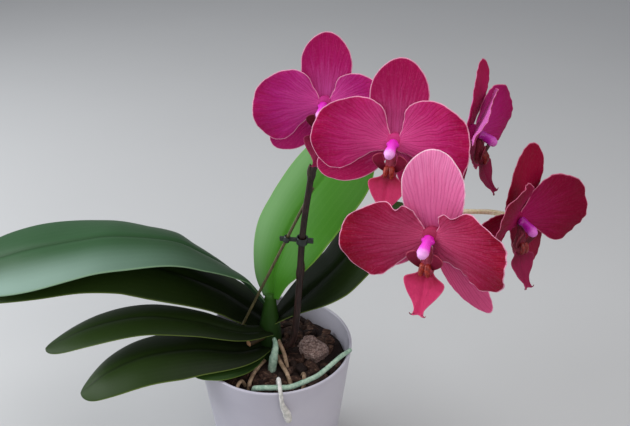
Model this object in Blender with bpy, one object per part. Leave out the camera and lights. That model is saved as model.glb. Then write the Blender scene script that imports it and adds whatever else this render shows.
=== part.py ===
"""A moth orchid in a plain plastic pot: seven leaves, one arching flower stem with five blooms.

Metres, +Z up. The origin is the centre of the pot's underside. The blooms nod towards -Y.
"""

import math
import random
from collections import namedtuple

import bmesh
import bpy
import numpy as np
from mathutils import Matrix, Vector

# Driving dimensions of the pot
POT_HEIGHT = 0.125
POT_RIM_RADIUS = 0.0665
POT_BASE_RADIUS = 0.0520
POT_WALL = 0.0025
POT_FLOOR = 0.0030
POT_LIP_ROUND = 0.0009
POT_FOOT_ROUND = 0.0025
POT_FLOOR_ROUND = 0.0040
POT_SIDES = 42

# Clearance between solids that touch
GAP = 0.0003

# Edges sharper than this many degrees are shaded sharp
SHARP_ANGLE = 40

# Potting bark
BARK_LEVEL = 0.1055
BARK_MOUND = 0.0105
BARK_RIPPLE = 0.0012
BARK_CHIPS = 22
BARK_SEED = 11
CHIP_LEAST = (0.0055, 0.0040, 0.0026)
CHIP_MOST = (0.0100, 0.0065, 0.0042)
CHIP_TILT = 0.35
CHIP_SPREAD = 0.055
NUGGET_CENTRE = (0.0326, 0.0002, 0.1142)
NUGGET_HALF = (0.0128, 0.0104, 0.0092)

# Parts of a bloom, in the bloom's own frame: x to the viewer's right, y up, z out of its face
HUB_RADIUS = 0.0048
HUB_CORE = 0.0026
HUB_FRONT = 0.0030
HUB_WAIST = -0.0010
HUB_BACK = 0.0045
TEPAL_THICK = 0.0010
TEPAL_EDGE = 0.0007
PETAL_DEPTH = 0.0012
PETAL_REACH = 0.043
PETAL_HALF = 0.020
PETAL_BELLY = 0.0030
PETAL_ROLL = 0.0014
PETAL_WAVES = 5
PETAL_FLARE_REACH = 0.014
SEPAL_DEPTH = -0.0020
SEPAL_REACH = 0.047
SEPAL_HALF = 0.015
SEPAL_DISH = 0.0016
SEPAL_BELLY = 0.0014
LATERAL_LEAN = -2
COLUMN_LENGTH = 0.0098
COLUMN_RADIUS = 0.0027
COLUMN_DROP = 22.0
LIP_NECK = (0.0, -0.0153, 0.0056)
LIP_LENGTH = 0.0232
LIP_FORWARD = 17.0
LIP_HALF = 0.010
LIP_DISH = 0.0016
LIP_HOOK = 0.0040
LIP_FOOT_RADII = (0.0016, 0.0028, 0.0038)
SIDELOBE_THICK = 0.0008
SIDELOBE_REACH = 0.0135
SIDELOBE_FOOT = (0.0012, -0.0148, 0.0066)
SIDELOBE_RISE = 0.78
SIDELOBE_BOW = 0.0040
SIDELOBE_OPEN = 0.80
PEDICEL_RADIUS = 0.0014
PEDICEL_BACK = 0.012

PETAL_OUTLINE = [
    (0.0010, -0.0035), (0.0095, -0.0055), (0.0160, -0.0095), (0.0225, -0.0140), (0.0290, -0.0168),
    (0.0360, -0.0155), (0.0415, -0.0085), (0.0438, 0.0015), (0.0400, 0.0140), (0.0335, 0.0205),
    (0.0255, 0.0237), (0.0180, 0.0245), (0.0110, 0.0230), (0.0056, 0.0185), (0.0040, 0.0110),
    (0.0020, 0.0035),
]
DORSAL_OUTLINE = [
    (0.0000, -0.0020), (0.0058, 0.0006), (0.0098, 0.0050), (0.0130, 0.0095), (0.0149, 0.0150),
    (0.0156, 0.0215), (0.0154, 0.0290), (0.0128, 0.0358), (0.0080, 0.0412), (0.0036, 0.0438),
    (0.0000, 0.0444),
]
LATERAL_OUTLINE = [
    (0.0000, -0.0020), (0.0045, 0.0010), (0.0070, 0.0070), (0.0112, 0.0160), (0.0126, 0.0260),
    (0.0108, 0.0365), (0.0056, 0.0450), (0.0000, 0.0480),
]
MIDLOBE_OUTLINE = [
    (0.0000, -0.0020), (0.0026, 0.0000), (0.0048, 0.0028), (0.0098, 0.0052), (0.0101, 0.0082),
    (0.0078, 0.0128), (0.0044, 0.0172), (0.0026, 0.0206), (0.0028, 0.0232), (0.0000, 0.0224),
]
SIDELOBE_OUTLINE = [
    (0.0000, -0.0010), (0.0035, 0.0010), (0.0052, 0.0060), (0.0045, 0.0110), (0.0006, 0.0135),
    (-0.0018, 0.0105), (-0.0022, 0.0050), (-0.0020, 0.0010),
]

# One bloom: turn is its facing, in degrees from -Y towards +X; nod is degrees below level; roll is
# clockwise. cup swings the left and right petals forwards, lift turns them up, and twist brings their
# upper margins forwards. splay is how far the left and right lower sepals stand from straight up, and
# lean how far the upper one leans forwards. All of these are in degrees. girth is the width of the upper
# and the two lower sepals, and stretch the length of each petal and its height above and below its
# middle line, left one first, as shares of the outlines above. flare is how much more a petal's lower
# margin is let down near the base. joins is where the bloom's stalk leaves the stem.
BLOOM_VALUES = "name centre turn nod roll cup lift twist splay lean girth stretch flare wave joins"
Bloom = namedtuple("Bloom", BLOOM_VALUES)
BLOOMS = [
    Bloom("bloom_1", (0.0409, -0.0878, 0.3808), -14, -3, 2, (12, 7), (-15, -7), (0, 0), (135, 136), 3,
          (1.0, 1.0, 1.0), ((1.03, 1.04, 1.04), (1.00, 0.99, 0.99)), (0.0, 0.0), 0.0010,
          (0.0606, -0.0528, 0.3489)),
    Bloom("bloom_2", (0.0768, -0.1613, 0.3892), -18, -10, 1, (7, 18), (-4, 2), (0, 0), (118, 136), 3,
          (1.0, 1.0, 1.0), ((1.03, 0.95, 0.95), (0.99, 1.00, 1.00)), (0.0, 0.0), 0.0009,
          (0.0961, -0.1018, 0.3819)),
    Bloom("bloom_3", (0.0906, -0.2190, 0.3668), -28, -3, -3, (10, 24), (-13, 0), (0, 4), (112, 141), 3,
          (1.0, 1.0, 0.65), ((1.07, 0.82, 1.11), (1.04, 0.74, 1.02)), (0.6, 1.5), 0.0014,
          (0.1047, -0.1848, 0.3475)),
    Bloom("bloom_4", (0.1229, -0.1306, 0.3807), 62, -2, -4, (29, 13), (37, -4), (29, 0), (136, 136), 7,
          (0.92, 1.0, 1.0), ((0.90, 0.92, 0.80), (1.00, 0.90, 0.90)), (0.0, 0.0), 0.0006,
          (0.1046, -0.1138, 0.3819)),
    Bloom("bloom_5", (0.1439, -0.1664, 0.3455), 41, -4, 8, (21, 21), (9, 0), (18, 8), (110, 136), 6,
          (0.92, 1.0, 1.0), ((1.00, 1.00, 1.00), (1.05, 1.06, 0.98)), (0.0, 0.0), 0.0010,
          (0.1056, -0.1690, 0.3515)),
]

# One leaf: the midrib from stem to tip, the width, the share of the width that it has at the stem, the
# share of the length at which it is widest, the direction that its upper face looks in at the base and
# at the tip, and the degrees that its halves rise from the midrib at base and tip.
Leaf = namedtuple("Leaf", "name midrib width neck swell face_base face_tip fold_base fold_tip")
LEAVES = [
    Leaf("leaf_left_1", [(-0.0034, 0.0062, 0.1549), (-0.0107, 0.0102, 0.1619), (-0.0244, 0.0137, 0.1779),
                         (-0.0404, 0.0122, 0.1940), (-0.0594, 0.0112, 0.2078), (-0.0824, 0.0112, 0.2200),
                         (-0.1254, 0.0112, 0.2244), (-0.1584, 0.0112, 0.2208), (-0.1934, 0.0112, 0.2135),
                         (-0.2254, 0.0112, 0.2040), (-0.2654, 0.0092, 0.1890)],
         0.096, 0.18, 0.42, (0.30, 0.55, 0.80), (-0.30, -0.34, 0.87), 14, 2),
    Leaf("leaf_left_2", [(-0.0034, 0.0072, 0.1390), (-0.0264, 0.0198, 0.1487), (-0.0474, 0.0205, 0.1642),
                         (-0.0794, 0.0125, 0.1865), (-0.1084, 0.0112, 0.1975), (-0.1254, 0.0112, 0.2010),
                         (-0.1584, 0.0112, 0.2010), (-0.1934, 0.0112, 0.1940), (-0.2274, 0.0112, 0.1845),
                         (-0.2654, 0.0102, 0.1689)],
         0.066, 0.46, 0.42, (0.22, -0.10, 0.95), (-0.30, -0.24, 0.90), 12, 2),
    Leaf("leaf_left_3", [(-0.0034, -0.0068, 0.1415), (-0.0274, -0.0205, 0.1510), (-0.0634, -0.0225, 0.1632),
                         (-0.1034, -0.0208, 0.1668), (-0.1484, -0.0198, 0.1552), (-0.1905, -0.0208, 0.1338)],
         0.044, 0.30, 0.80, (0.15, -0.05, 0.98), (-0.30, -0.05, 0.95), 14, 4),
    Leaf("leaf_left_4", [(-0.0054, -0.0078, 0.1270), (-0.0274, -0.0238, 0.1339), (-0.0634, -0.0298, 0.1405),
                         (-0.1034, -0.0358, 0.1379), (-0.1344, -0.0418, 0.1259), (-0.1584, -0.0468, 0.1079)],
         0.057, 0.24, 0.50, (0.10, -0.10, 0.98), (-0.40, -0.14, 0.90), 20, 2),
    Leaf("leaf_left_5", [(-0.0084, -0.0068, 0.1215), (-0.0234, -0.0228, 0.1270), (-0.0384, -0.0348, 0.1305),
                         (-0.0534, -0.0413, 0.1322), (-0.0664, -0.0458, 0.1305)],
         0.032, 0.24, 0.50, (0.10, -0.10, 0.98), (-0.10, -0.10, 0.98), 8, 0),
    Leaf("leaf_right_1", [(-0.0010, 0.0018, 0.1698), (0.0018, 0.0124, 0.1905), (0.0144, 0.0273, 0.2229),
                          (0.0306, 0.0402, 0.2449), (0.0526, 0.0582, 0.2669), (0.0746, 0.0722, 0.2879)],
         0.082, 0.26, 0.38, (-0.75, -0.50, 0.45), (-0.45, -0.70, 0.55), 22, 6),
    Leaf("leaf_right_2", [(-0.0014, -0.0008, 0.1449), (0.0261, 0.0107, 0.1649), (0.0506, 0.0152, 0.1889),
                          (0.0716, 0.0202, 0.2139), (0.0926, 0.0242, 0.2309), (0.1126, 0.0312, 0.2399)],
         0.060, 0.22, 0.50, (-0.60, -0.10, 0.78), (-0.35, -0.45, 0.82), 30, 6),
]
LEAF_THICK = 0.0018
LEAF_EDGE = 0.0010
LEAF_CURL = 13

# The short stem that the leaves sheathe
CROWN_PATH = [(-0.0044, -0.0038, 0.0969), (-0.0034, -0.0028, 0.1269), (-0.0034, 0.0002, 0.1549),
              (-0.0028, 0.0016, 0.1712)]
CROWN_RADII = (0.0105, 0.0100, 0.0080, 0.0045)

# The flower stem, its nodes, and the stake that a clip holds it to
SPIKE_PATH = [
    (-0.0014, -0.0058, 0.1229), (0.0106, -0.0108, 0.1279), (0.0171, -0.0128, 0.1419),
    (0.0216, -0.0128, 0.1869), (0.0246, -0.0148, 0.2369), (0.0296, -0.0258, 0.2829),
    (0.0356, -0.0378, 0.3149), (0.0551, -0.0463, 0.3414), (0.0816, -0.0778, 0.3689),
    (0.1011, -0.1063, 0.3824), (0.1048, -0.1418, 0.3735), (0.1054, -0.1718, 0.3520),
    (0.1042, -0.1908, 0.3440),
]
SPIKE_RADIUS_BASE = 0.0030
SPIKE_RADIUS_TIP = 0.0016
SPIKE_NODES = (0.22, 0.46)
BRACT_LENGTH = 0.010
BRACT_STATIONS = (0.0, 0.35, 0.7, 1.0)
BRACT_RADII = (0.0029, 0.0027, 0.0017, 0.0004)
STAKE_FOOT = (-0.0449, 0.0012, 0.1029)
STAKE_TOP = (0.0331, -0.0183, 0.2849)
STAKE_RADIUS = 0.0012
CLIP_HEIGHT = 0.237
CLIP_TALL = 0.0060
CLIP_WALL = 0.0014
CLIP_BRIDGE = (0.0036, 0.0018)
CLIP_STEM_TAB = (0.0048, 0.0050, 0.0016)
CLIP_STAKE_TAB = (0.0034, 0.0042, 0.0016)

# Roots above the bark: the route, and the radius at each end
ROOTS = {
    "root_1": ([(-0.0010, -0.0078, 0.1360), (0.0014, -0.0154, 0.1319), (-0.0008, -0.0214, 0.1205),
                (-0.0034, -0.0242, 0.1009)],
               0.0028, 0.0036),
    "root_2": ([(-0.0150, -0.0430, 0.1020), (-0.0150, -0.0495, 0.1150), (-0.0105, -0.0545, 0.1208),
                (0.0030, -0.0568, 0.1232), (0.0145, -0.0572, 0.1243), (0.0250, -0.0525, 0.1250),
                (0.0365, -0.0450, 0.1254), (0.0460, -0.0350, 0.1262), (0.0560, -0.0240, 0.1276),
                (0.0642, -0.0158, 0.1277)],
               0.0024, 0.0019),
    "root_3": ([(0.0040, -0.0460, 0.1030), (0.0045, -0.0500, 0.1210), (0.0055, -0.0555, 0.1312),
                (0.0068, -0.0645, 0.1310), (0.0078, -0.0690, 0.1250), (0.0088, -0.0684, 0.1150),
                (0.0118, -0.0674, 0.1060), (0.0132, -0.0670, 0.0985)],
               0.0018, 0.0028),
    "root_4": ([(-0.0074, -0.0098, 0.1129), (-0.0114, -0.0203, 0.1164), (-0.0164, -0.0318, 0.1164),
                (-0.0194, -0.0398, 0.1134), (-0.0214, -0.0438, 0.1029)],
               0.0019, 0.0017),
    "root_5": ([(-0.0225, -0.0360, 0.1030), (-0.0255, -0.0430, 0.1175), (-0.0285, -0.0500, 0.1180),
                (-0.0290, -0.0518, 0.1060)],
               0.0016, 0.0015),
    "root_6": ([(0.0016, -0.0098, 0.1179), (0.0060, -0.0218, 0.1184), (0.0121, -0.0348, 0.1164),
                (0.0175, -0.0438, 0.1029)],
               0.0019, 0.0017),
    "root_7": ([(0.0216, -0.0238, 0.1029), (0.0251, -0.0308, 0.1149), (0.0256, -0.0398, 0.1144),
                (0.0236, -0.0450, 0.1019)],
               0.0018, 0.0016),
    "root_8": ([(0.0034, -0.0078, 0.1316), (0.0086, -0.0178, 0.1256), (0.0122, -0.0238, 0.1089),
                (0.0124, -0.0250, 0.0999)],
               0.0018, 0.0016),
}
CUT_STUB = [(-0.0054, -0.0048, 0.1362), (-0.0134, -0.0123, 0.1374), (-0.0209, -0.0192, 0.1380)]
CUT_STUB_RADIUS = 0.0030

# Colours, as linear red, green and blue
LILAC_GREY = (0.38, 0.37, 0.44)
BARK_BROWN = (0.045, 0.022, 0.014)
NUGGET_BROWN = (0.20, 0.11, 0.085)
LEAF_GREEN = (0.018, 0.075, 0.020)
LEAF_BRIGHT = (0.060, 0.230, 0.020)
STEM_BROWN = (0.040, 0.016, 0.014)
STEM_GREEN = (0.35, 0.42, 0.20)
ROOT_MINT = (0.42, 0.55, 0.45)
ROOT_TAN = (0.33, 0.21, 0.12)
CLIP_DARK = (0.012, 0.022, 0.020)
MAGENTA = (0.40, 0.010, 0.100)
LIP_CRIMSON = (0.46, 0.020, 0.110)
COLUMN_PINK = (0.72, 0.12, 0.62)


def clear_scene():
    for obj in list(bpy.data.objects):
        bpy.data.objects.remove(obj, do_unlink=True)


def material(name, colour, roughness):
    made = bpy.data.materials.new(name)
    made.use_nodes = True
    shader = made.node_tree.nodes["Principled BSDF"]
    shader.inputs["Base Color"].default_value = (*colour, 1.0)
    shader.inputs["Roughness"].default_value = roughness
    shader.inputs["Metallic"].default_value = 0.0
    return made


def new_object(name, points, faces, look):
    """An object from points and faces, with its normals turned outwards and its faces smooth."""
    mesh = bpy.data.meshes.new(name)
    mesh.from_pydata([tuple(p) for p in points], [], faces)
    work = bmesh.new()
    work.from_mesh(mesh)
    bmesh.ops.recalc_face_normals(work, faces=work.faces)
    work.to_mesh(mesh)
    work.free()
    mesh.shade_smooth()
    mesh.set_sharp_from_angle(angle=math.radians(SHARP_ANGLE))
    if look is not None:
        mesh.materials.append(look)
    obj = bpy.data.objects.new(name, mesh)
    bpy.context.scene.collection.objects.link(obj)
    return obj


def combine(target, others, operation):
    """Joins the other solids to the target, or cuts them from it, and removes them."""
    if not others:
        return target
    group = bpy.data.collections.new("others")
    bpy.context.scene.collection.children.link(group)
    for obj in others:
        bpy.context.scene.collection.objects.unlink(obj)
        group.objects.link(obj)
    boolean = target.modifiers.new(operation, "BOOLEAN")
    boolean.operation = operation
    boolean.solver = "EXACT"
    boolean.operand_type = "COLLECTION"
    boolean.collection = group
    bpy.context.view_layer.update()
    graph = bpy.context.evaluated_depsgraph_get()
    result = bpy.data.meshes.new_from_object(target.evaluated_get(graph))
    result.set_sharp_from_angle(angle=math.radians(SHARP_ANGLE))
    target.modifiers.clear()
    target.data = result
    for obj in others:
        bpy.data.objects.remove(obj, do_unlink=True)
    bpy.data.collections.remove(group)
    return target


def catmull_rom(before, start, end, after, t):
    """The point at t, from 0 to 1, between start and end on a Catmull-Rom curve."""
    return 0.5 * (
        2 * start
        + (end - before) * t
        + (2 * before - 5 * start + 4 * end - after) * t**2
        + (3 * start - before - 3 * end + after) * t**3
    )


def evenly_spaced(points, count):
    """count points at equal distances along a line of many points."""
    steps = np.linalg.norm(np.diff(points, axis=0), axis=1)
    along = np.concatenate([[0.0], np.cumsum(steps)])
    wanted = np.linspace(0.0, along[-1], count)
    return np.stack([np.interp(wanted, along, points[:, k]) for k in range(points.shape[1])], axis=1)


def smooth_path(points, count):
    """count evenly spaced points on a smooth open curve through the given points."""
    p = np.array(points, float)
    ends = np.vstack([2 * p[0] - p[1], p, 2 * p[-1] - p[-2]])
    fine = [
        catmull_rom(*ends[i : i + 4], t)
        for i in range(len(p) - 1)
        for t in np.linspace(0, 1, 24, endpoint=False)
    ]
    return evenly_spaced(np.array(fine + [p[-1]]), count)


def closed_outline(points, count):
    """count evenly spaced points on a smooth closed curve through the given points."""
    p = np.array(points, float)
    n = len(p)
    fine = [
        catmull_rom(p[i - 1], p[i], p[(i + 1) % n], p[(i + 2) % n], t)
        for i in range(n)
        for t in np.linspace(0, 1, 16, endpoint=False)
    ]
    return evenly_spaced(np.array(fine + [fine[0]]), count + 1)[:-1]


def mirrored(outline):
    """A whole outline from its right half, which starts and ends on the middle line."""
    return outline + [(-x, y) for x, y in reversed(outline[1:-1])]


def tangents_of(path):
    return np.array([Vector(t).normalized() for t in np.gradient(path, axis=0)])


def tube(path, radii, sides):
    """Points and faces of a closed tube of changing radius, with low domed ends."""
    tangents = tangents_of(path)
    side = Vector(tangents[0]).orthogonal().normalized()
    points, rings = [], []
    for centre, tangent, radius in zip(path, tangents, radii):
        axis = Vector(tangent)
        side = (side - axis * side.dot(axis)).normalized()
        other = axis.cross(side)
        rings.append([len(points) + k for k in range(sides)])
        for k in range(sides):
            angle = 2 * math.pi * k / sides
            spoke = math.cos(angle) * side + math.sin(angle) * other
            points.append(Vector(centre) + spoke * float(radius))
    faces = []
    for ring, following in zip(rings, rings[1:]):
        for k in range(sides):
            n = (k + 1) % sides
            faces.append((ring[k], ring[n], following[n], following[k]))
    for ring, centre, tangent, radius in (
        (rings[0], path[0], -tangents[0], radii[0]),
        (rings[-1], path[-1], tangents[-1], radii[-1]),
    ):
        points.append(Vector(centre) + Vector(tangent) * float(0.35 * radius))
        faces += [(ring[k], ring[(k + 1) % sides], len(points) - 1) for k in range(sides)]
    return points, faces


def tube_object(name, route, radii, look, sides=8, spacing=0.006):
    """A tube along a smooth route. radii are those at its start and end."""
    length = np.linalg.norm(np.diff(np.array(route, float), axis=0), axis=1).sum()
    count = max(4, round(length / spacing))
    return new_object(name, *tube(smooth_path(route, count), np.linspace(*radii, count), sides), look)


def blade(outline, shares, surface, thick, edge):
    """Points and faces of a thin closed solid over a flat outline.

    shares are the rings' distances from the middle to the outline, the last being 1. surface takes
    flat points, their share and their place round the outline, and gives points in space.
    """
    outline = np.array(outline)
    n = len(outline)
    middle = outline.mean(axis=0)
    flat = [middle]
    share = [0.0]
    place = [0.0]
    for s in shares:
        flat += list(middle + s * (outline - middle))
        share += [s] * n
        place += [k / n for k in range(n)]
    flat, share, place = np.array(flat), np.array(share), np.array(place)
    step = 1e-4
    centre = surface(flat, share, place)
    across = surface(flat + (step, 0), share, place) - centre
    along = surface(flat + (0, step), share, place) - centre
    normal = np.cross(across, along)
    normal /= np.linalg.norm(normal, axis=1)[:, None]
    half = (0.5 * (thick + (edge - thick) * share**2))[:, None] * normal
    count = len(flat)
    triangles = [(0, 1 + k, 1 + (k + 1) % n) for k in range(n)]
    for ring in range(len(shares) - 1):
        inner, outer = 1 + ring * n, 1 + (ring + 1) * n
        for k in range(n):
            m = (k + 1) % n
            triangles += [(inner + k, outer + k, outer + m), (inner + k, outer + m, inner + m)]
    rim = 1 + (len(shares) - 1) * n
    wall = []
    for k in range(n):
        m = (k + 1) % n
        wall += [(rim + k, count + rim + k, count + rim + m), (rim + k, count + rim + m, rim + m)]
    faces = triangles + [tuple(count + i for i in reversed(t)) for t in triangles] + wall
    return np.vstack([centre + half, centre - half]), faces


def turned(points, angle, axis):
    """Points turned by an angle in degrees about an axis through the origin."""
    return points @ np.array(Matrix.Rotation(math.radians(angle), 3, axis)).T


def petal_surface(bloom, side):
    """How a petal bends: side is 1 for the right one and -1 for the left one."""
    index = (side + 1) // 2
    length, above, below = bloom.stretch[index]

    def surface(flat, share, place):
        x = flat[:, 0] * length
        lower = below * (1 + bloom.flare[index] * np.exp(-((flat[:, 0] / PETAL_FLARE_REACH) ** 2)))
        y = flat[:, 1] * np.where(flat[:, 1] > 0, above, lower)
        reach = x / PETAL_REACH
        z = PETAL_BELLY * reach * (1 - reach) - PETAL_ROLL * reach**2 * (y / PETAL_HALF) ** 2
        z = z + bloom.wave * share**4 * np.sin(2 * math.pi * (PETAL_WAVES * place + 0.15))
        points = turned(np.stack([x, y, z], axis=1), bloom.twist[index], "X")
        points = turned(points, bloom.lift[index], "Z")
        points = turned(points, -bloom.cup[index], "Y")
        points[:, 0] *= side
        points[:, 2] += PETAL_DEPTH
        return points

    return surface


def sepal_surface(spin, lean, girth):
    """How a sepal bends. It points up before it is turned by spin, anticlockwise from the front."""

    def surface(flat, share, place):
        x, y = flat[:, 0] * girth, flat[:, 1]
        arch = np.sin(math.pi * np.clip(y / SEPAL_REACH, 0, 1))
        z = SEPAL_DISH * (x / SEPAL_HALF) ** 2 + SEPAL_BELLY * arch
        points = turned(np.stack([x, y, z], axis=1), lean, "X")
        points = turned(points, spin, "Z")
        points[:, 2] += SEPAL_DEPTH
        return points

    return surface


def midlobe_surface(flat, share, place):
    """The lip's middle lobe runs out and down, with its sides raised and its tip hooked forwards."""
    x, y = flat[:, 0], flat[:, 1]
    along = np.clip(y / LIP_LENGTH, 0, 1.05)
    z = LIP_DISH * (x / LIP_HALF) ** 2 + LIP_HOOK * along**3
    points = np.stack([x, -y, z], axis=1)
    points = turned(points, -LIP_FORWARD, "X")
    return points + LIP_NECK


def sidelobe_surface(side):
    """A side lobe of the lip stands up beside the column, opens forwards, and curls in at the top."""

    def surface(flat, share, place):
        x, y = flat[:, 0], flat[:, 1]
        bow = SIDELOBE_BOW * np.sin(0.72 * math.pi * np.clip(y / SIDELOBE_REACH, 0, 1))
        out = SIDELOBE_FOOT[0] + bow + SIDELOBE_OPEN * x
        depth = SIDELOBE_FOOT[2] + 0.25 * y + (1 - SIDELOBE_OPEN) * x
        return np.stack([side * out, SIDELOBE_FOOT[1] + SIDELOBE_RISE * y, depth], axis=1)

    return surface


def column_path():
    drop = math.radians(COLUMN_DROP)
    run = np.linspace(0, 1, 6)[:, None] * COLUMN_LENGTH
    start = np.array([0, 0.0002, HUB_FRONT + GAP + 0.35 * COLUMN_RADIUS])
    return start + run * np.array([0, -math.sin(drop), math.cos(drop)])


def lathe(profile, sides):
    """Points and faces of a closed solid turned about Z. The profile starts and ends on the axis."""
    points = [(0, 0, profile[0][1])]
    for radius, z in profile[1:-1]:
        points += [
            (radius * math.cos(2 * math.pi * k / sides), radius * math.sin(2 * math.pi * k / sides), z)
            for k in range(sides)
        ]
    points.append((0, 0, profile[-1][1]))
    faces = []
    for k in range(sides):
        n = (k + 1) % sides
        faces.append((0, 1 + n, 1 + k))
        for row in range(len(profile) - 3):
            low, high = 1 + row * sides, 1 + (row + 1) * sides
            faces.append((low + k, low + n, high + n, high + k))
        top = 1 + (len(profile) - 3) * sides
        faces.append((top + k, top + n, len(points) - 1))
    return points, faces


def pot_radius(z):
    """The pot's outer radius at a height."""
    return POT_BASE_RADIUS + (POT_RIM_RADIUS - POT_BASE_RADIUS) * z / POT_HEIGHT


def make_pot(look):
    top, lip = POT_HEIGHT, POT_LIP_ROUND
    corner = POT_FLOOR + POT_FLOOR_ROUND
    profile = [
        (0, 0),
        (POT_BASE_RADIUS - POT_FOOT_ROUND, 0),
        (POT_BASE_RADIUS, POT_FOOT_ROUND),
        (POT_RIM_RADIUS - lip * 0.3, top - lip),
        (POT_RIM_RADIUS - lip, top),
        (POT_RIM_RADIUS - POT_WALL + lip, top),
        (POT_RIM_RADIUS - POT_WALL, top - lip),
        (pot_radius(corner) - POT_WALL, corner),
        (pot_radius(POT_FLOOR) - POT_WALL - 0.75 * POT_FLOOR_ROUND, POT_FLOOR),
        (0, POT_FLOOR),
    ]
    return new_object("pot", *lathe(profile, POT_SIDES), look)


def bark_height(x, y):
    """The bark's surface, mounded round the stem and lower at the wall."""
    away = math.hypot(x, y) / POT_RIM_RADIUS
    ripple = BARK_RIPPLE * math.sin(190 * x + 1.3) * math.cos(170 * y)
    return BARK_LEVEL + BARK_MOUND * (1 - away**2) + ripple


def make_bark(look):
    """The filling of bark, with chips sunk into its surface."""
    reach = POT_WALL + GAP
    bottom = POT_FLOOR + GAP
    corner = POT_FLOOR + POT_FLOOR_ROUND + 0.001
    points = [(0, 0, bottom)]
    rows = [(pot_radius(bottom) - reach - 0.0035, bottom), (pot_radius(corner) - reach, corner)]
    shares = (1.0, 0.72, 0.38)

    def ring(radius, height=None):
        for k in range(POT_SIDES):
            angle = 2 * math.pi * k / POT_SIDES
            x, y = radius * math.cos(angle), radius * math.sin(angle)
            points.append((x, y, bark_height(x, y) if height is None else height))

    for radius, height in rows:
        ring(radius, height)
    edge = pot_radius(BARK_LEVEL - 0.003) - reach
    for share in shares:
        ring(edge * share)
    points.append((0, 0, bark_height(0, 0)))
    faces = []
    count = len(rows) + len(shares)
    for k in range(POT_SIDES):
        n = (k + 1) % POT_SIDES
        faces.append((0, 1 + n, 1 + k))
        for row in range(count - 1):
            low, high = 1 + row * POT_SIDES, 1 + (row + 1) * POT_SIDES
            faces.append((low + k, low + n, high + n, high + k))
        faces.append((1 + (count - 1) * POT_SIDES + k, 1 + (count - 1) * POT_SIDES + n, len(points) - 1))
    bark = new_object("bark_mix", points, faces, look)
    return combine(bark, bark_chips(), "UNION")


def chip_points(rng, half):
    """The eight corners of a rough block."""
    corners = []
    for sx in (-1, 1):
        for sy in (-1, 1):
            for sz in (-1, 1):
                corners.append(Vector([s * h * rng.uniform(0.72, 1.0) for s, h in zip((sx, sy, sz), half)]))
    return corners


BLOCK_FACES = [(0, 1, 3, 2), (4, 6, 7, 5), (0, 4, 5, 1), (2, 3, 7, 6), (0, 2, 6, 4), (1, 5, 7, 3)]


def bark_chips():
    """Chips of bark, tilted and turned at random, each well inside the pot's wall."""
    rng = random.Random(BARK_SEED)
    inner = pot_radius(BARK_LEVEL) - POT_WALL - 0.0012
    chips = []
    while len(chips) < BARK_CHIPS:
        angle, share = rng.uniform(0, 2 * math.pi), math.sqrt(rng.uniform(0.02, 1.0))
        x, y = CHIP_SPREAD * share * math.cos(angle), CHIP_SPREAD * share * math.sin(angle)
        half = [rng.uniform(least, most) for least, most in zip(CHIP_LEAST, CHIP_MOST)]
        turn = (
            Matrix.Rotation(rng.uniform(0, 2 * math.pi), 3, "Z")
            @ Matrix.Rotation(rng.uniform(-CHIP_TILT, CHIP_TILT), 3, "X")
            @ Matrix.Rotation(rng.uniform(-CHIP_TILT, CHIP_TILT), 3, "Y")
        )
        centre = Vector((x, y, bark_height(x, y) + rng.uniform(-0.0008, 0.0012)))
        corners = [centre + turn @ c for c in chip_points(rng, half)]
        if all(math.hypot(c.x, c.y) < inner for c in corners):
            chips.append(new_object(f"chip_{len(chips)}", corners, BLOCK_FACES, None))
    return chips


def nugget(name, grow, look):
    """The large piece of bark: an uneven rounded lump. grow widens it all round."""
    rng = random.Random(BARK_SEED)
    work = bmesh.new()
    bmesh.ops.create_icosphere(work, subdivisions=2, radius=1.0)
    turn = Matrix.Rotation(math.radians(-28), 3, "Z") @ Matrix.Rotation(math.radians(14), 3, "Y")
    for vertex in work.verts:
        rough = 1 + 0.16 * (rng.random() - 0.5)
        scaled = Vector([rough * h * math.copysign(abs(c) ** 0.75, c) for c, h in zip(vertex.co, NUGGET_HALF)])
        vertex.co = Vector(NUGGET_CENTRE) + turn @ (scaled * (1 + grow / NUGGET_HALF[2]))
    points = [v.co.copy() for v in work.verts]
    faces = [tuple(v.index for v in f.verts) for f in work.faces]
    work.free()
    return new_object(name, points, faces, look)


def crown(name, grow, look):
    path = smooth_path(CROWN_PATH, 10)
    radii = np.interp(np.linspace(0, 1, 10), np.linspace(0, 1, len(CROWN_RADII)), CROWN_RADII) + grow
    return new_object(name, *tube(path, radii, 14), look)


def spike_radii(count):
    """The stem's radius: it tapers, and swells a little at each node."""
    along = np.linspace(0, 1, count)
    radii = SPIKE_RADIUS_BASE + (SPIKE_RADIUS_TIP - SPIKE_RADIUS_BASE) * along
    for node in SPIKE_NODES:
        radii = radii + 0.0007 * np.exp(-(((along - node) / 0.010) ** 2))
    return radii


def spike(name, grow, look):
    path = smooth_path(SPIKE_PATH, 50)
    return new_object(name, *tube(path, spike_radii(50) + grow, 7), look)


def bracts():
    """A small pointed sheath at each node of the flower stem."""
    path = smooth_path(SPIKE_PATH, 200)
    made = []
    for number, node in enumerate(SPIKE_NODES):
        index = round(node * 199)
        start, along = Vector(path[index]), Vector(path[index + 4] - path[index]).normalized()
        out = along.orthogonal().normalized()
        out.rotate(Matrix.Rotation(2.1 * number, 3, along))
        route = [start + s * BRACT_LENGTH * along + (0.0006 + 0.0030 * s) * out for s in BRACT_STATIONS]
        made.append(new_object(f"bract_{number}", *tube(np.array(route), BRACT_RADII, 6), None))
    return made


def leaf_shape(leaf, share):
    """A leaf's width as a share of its widest, from stem (0) to tip (1)."""
    opened = np.clip(share / leaf.swell, 0, 1) ** 1.1
    neck = leaf.neck + (1 - leaf.neck) * opened * (2 - opened)
    end = np.sqrt(np.clip(1 - np.clip((share - 0.60) / 0.40, 0, 1) ** 2.3, 0.0016, 1))
    return neck * end


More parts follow.
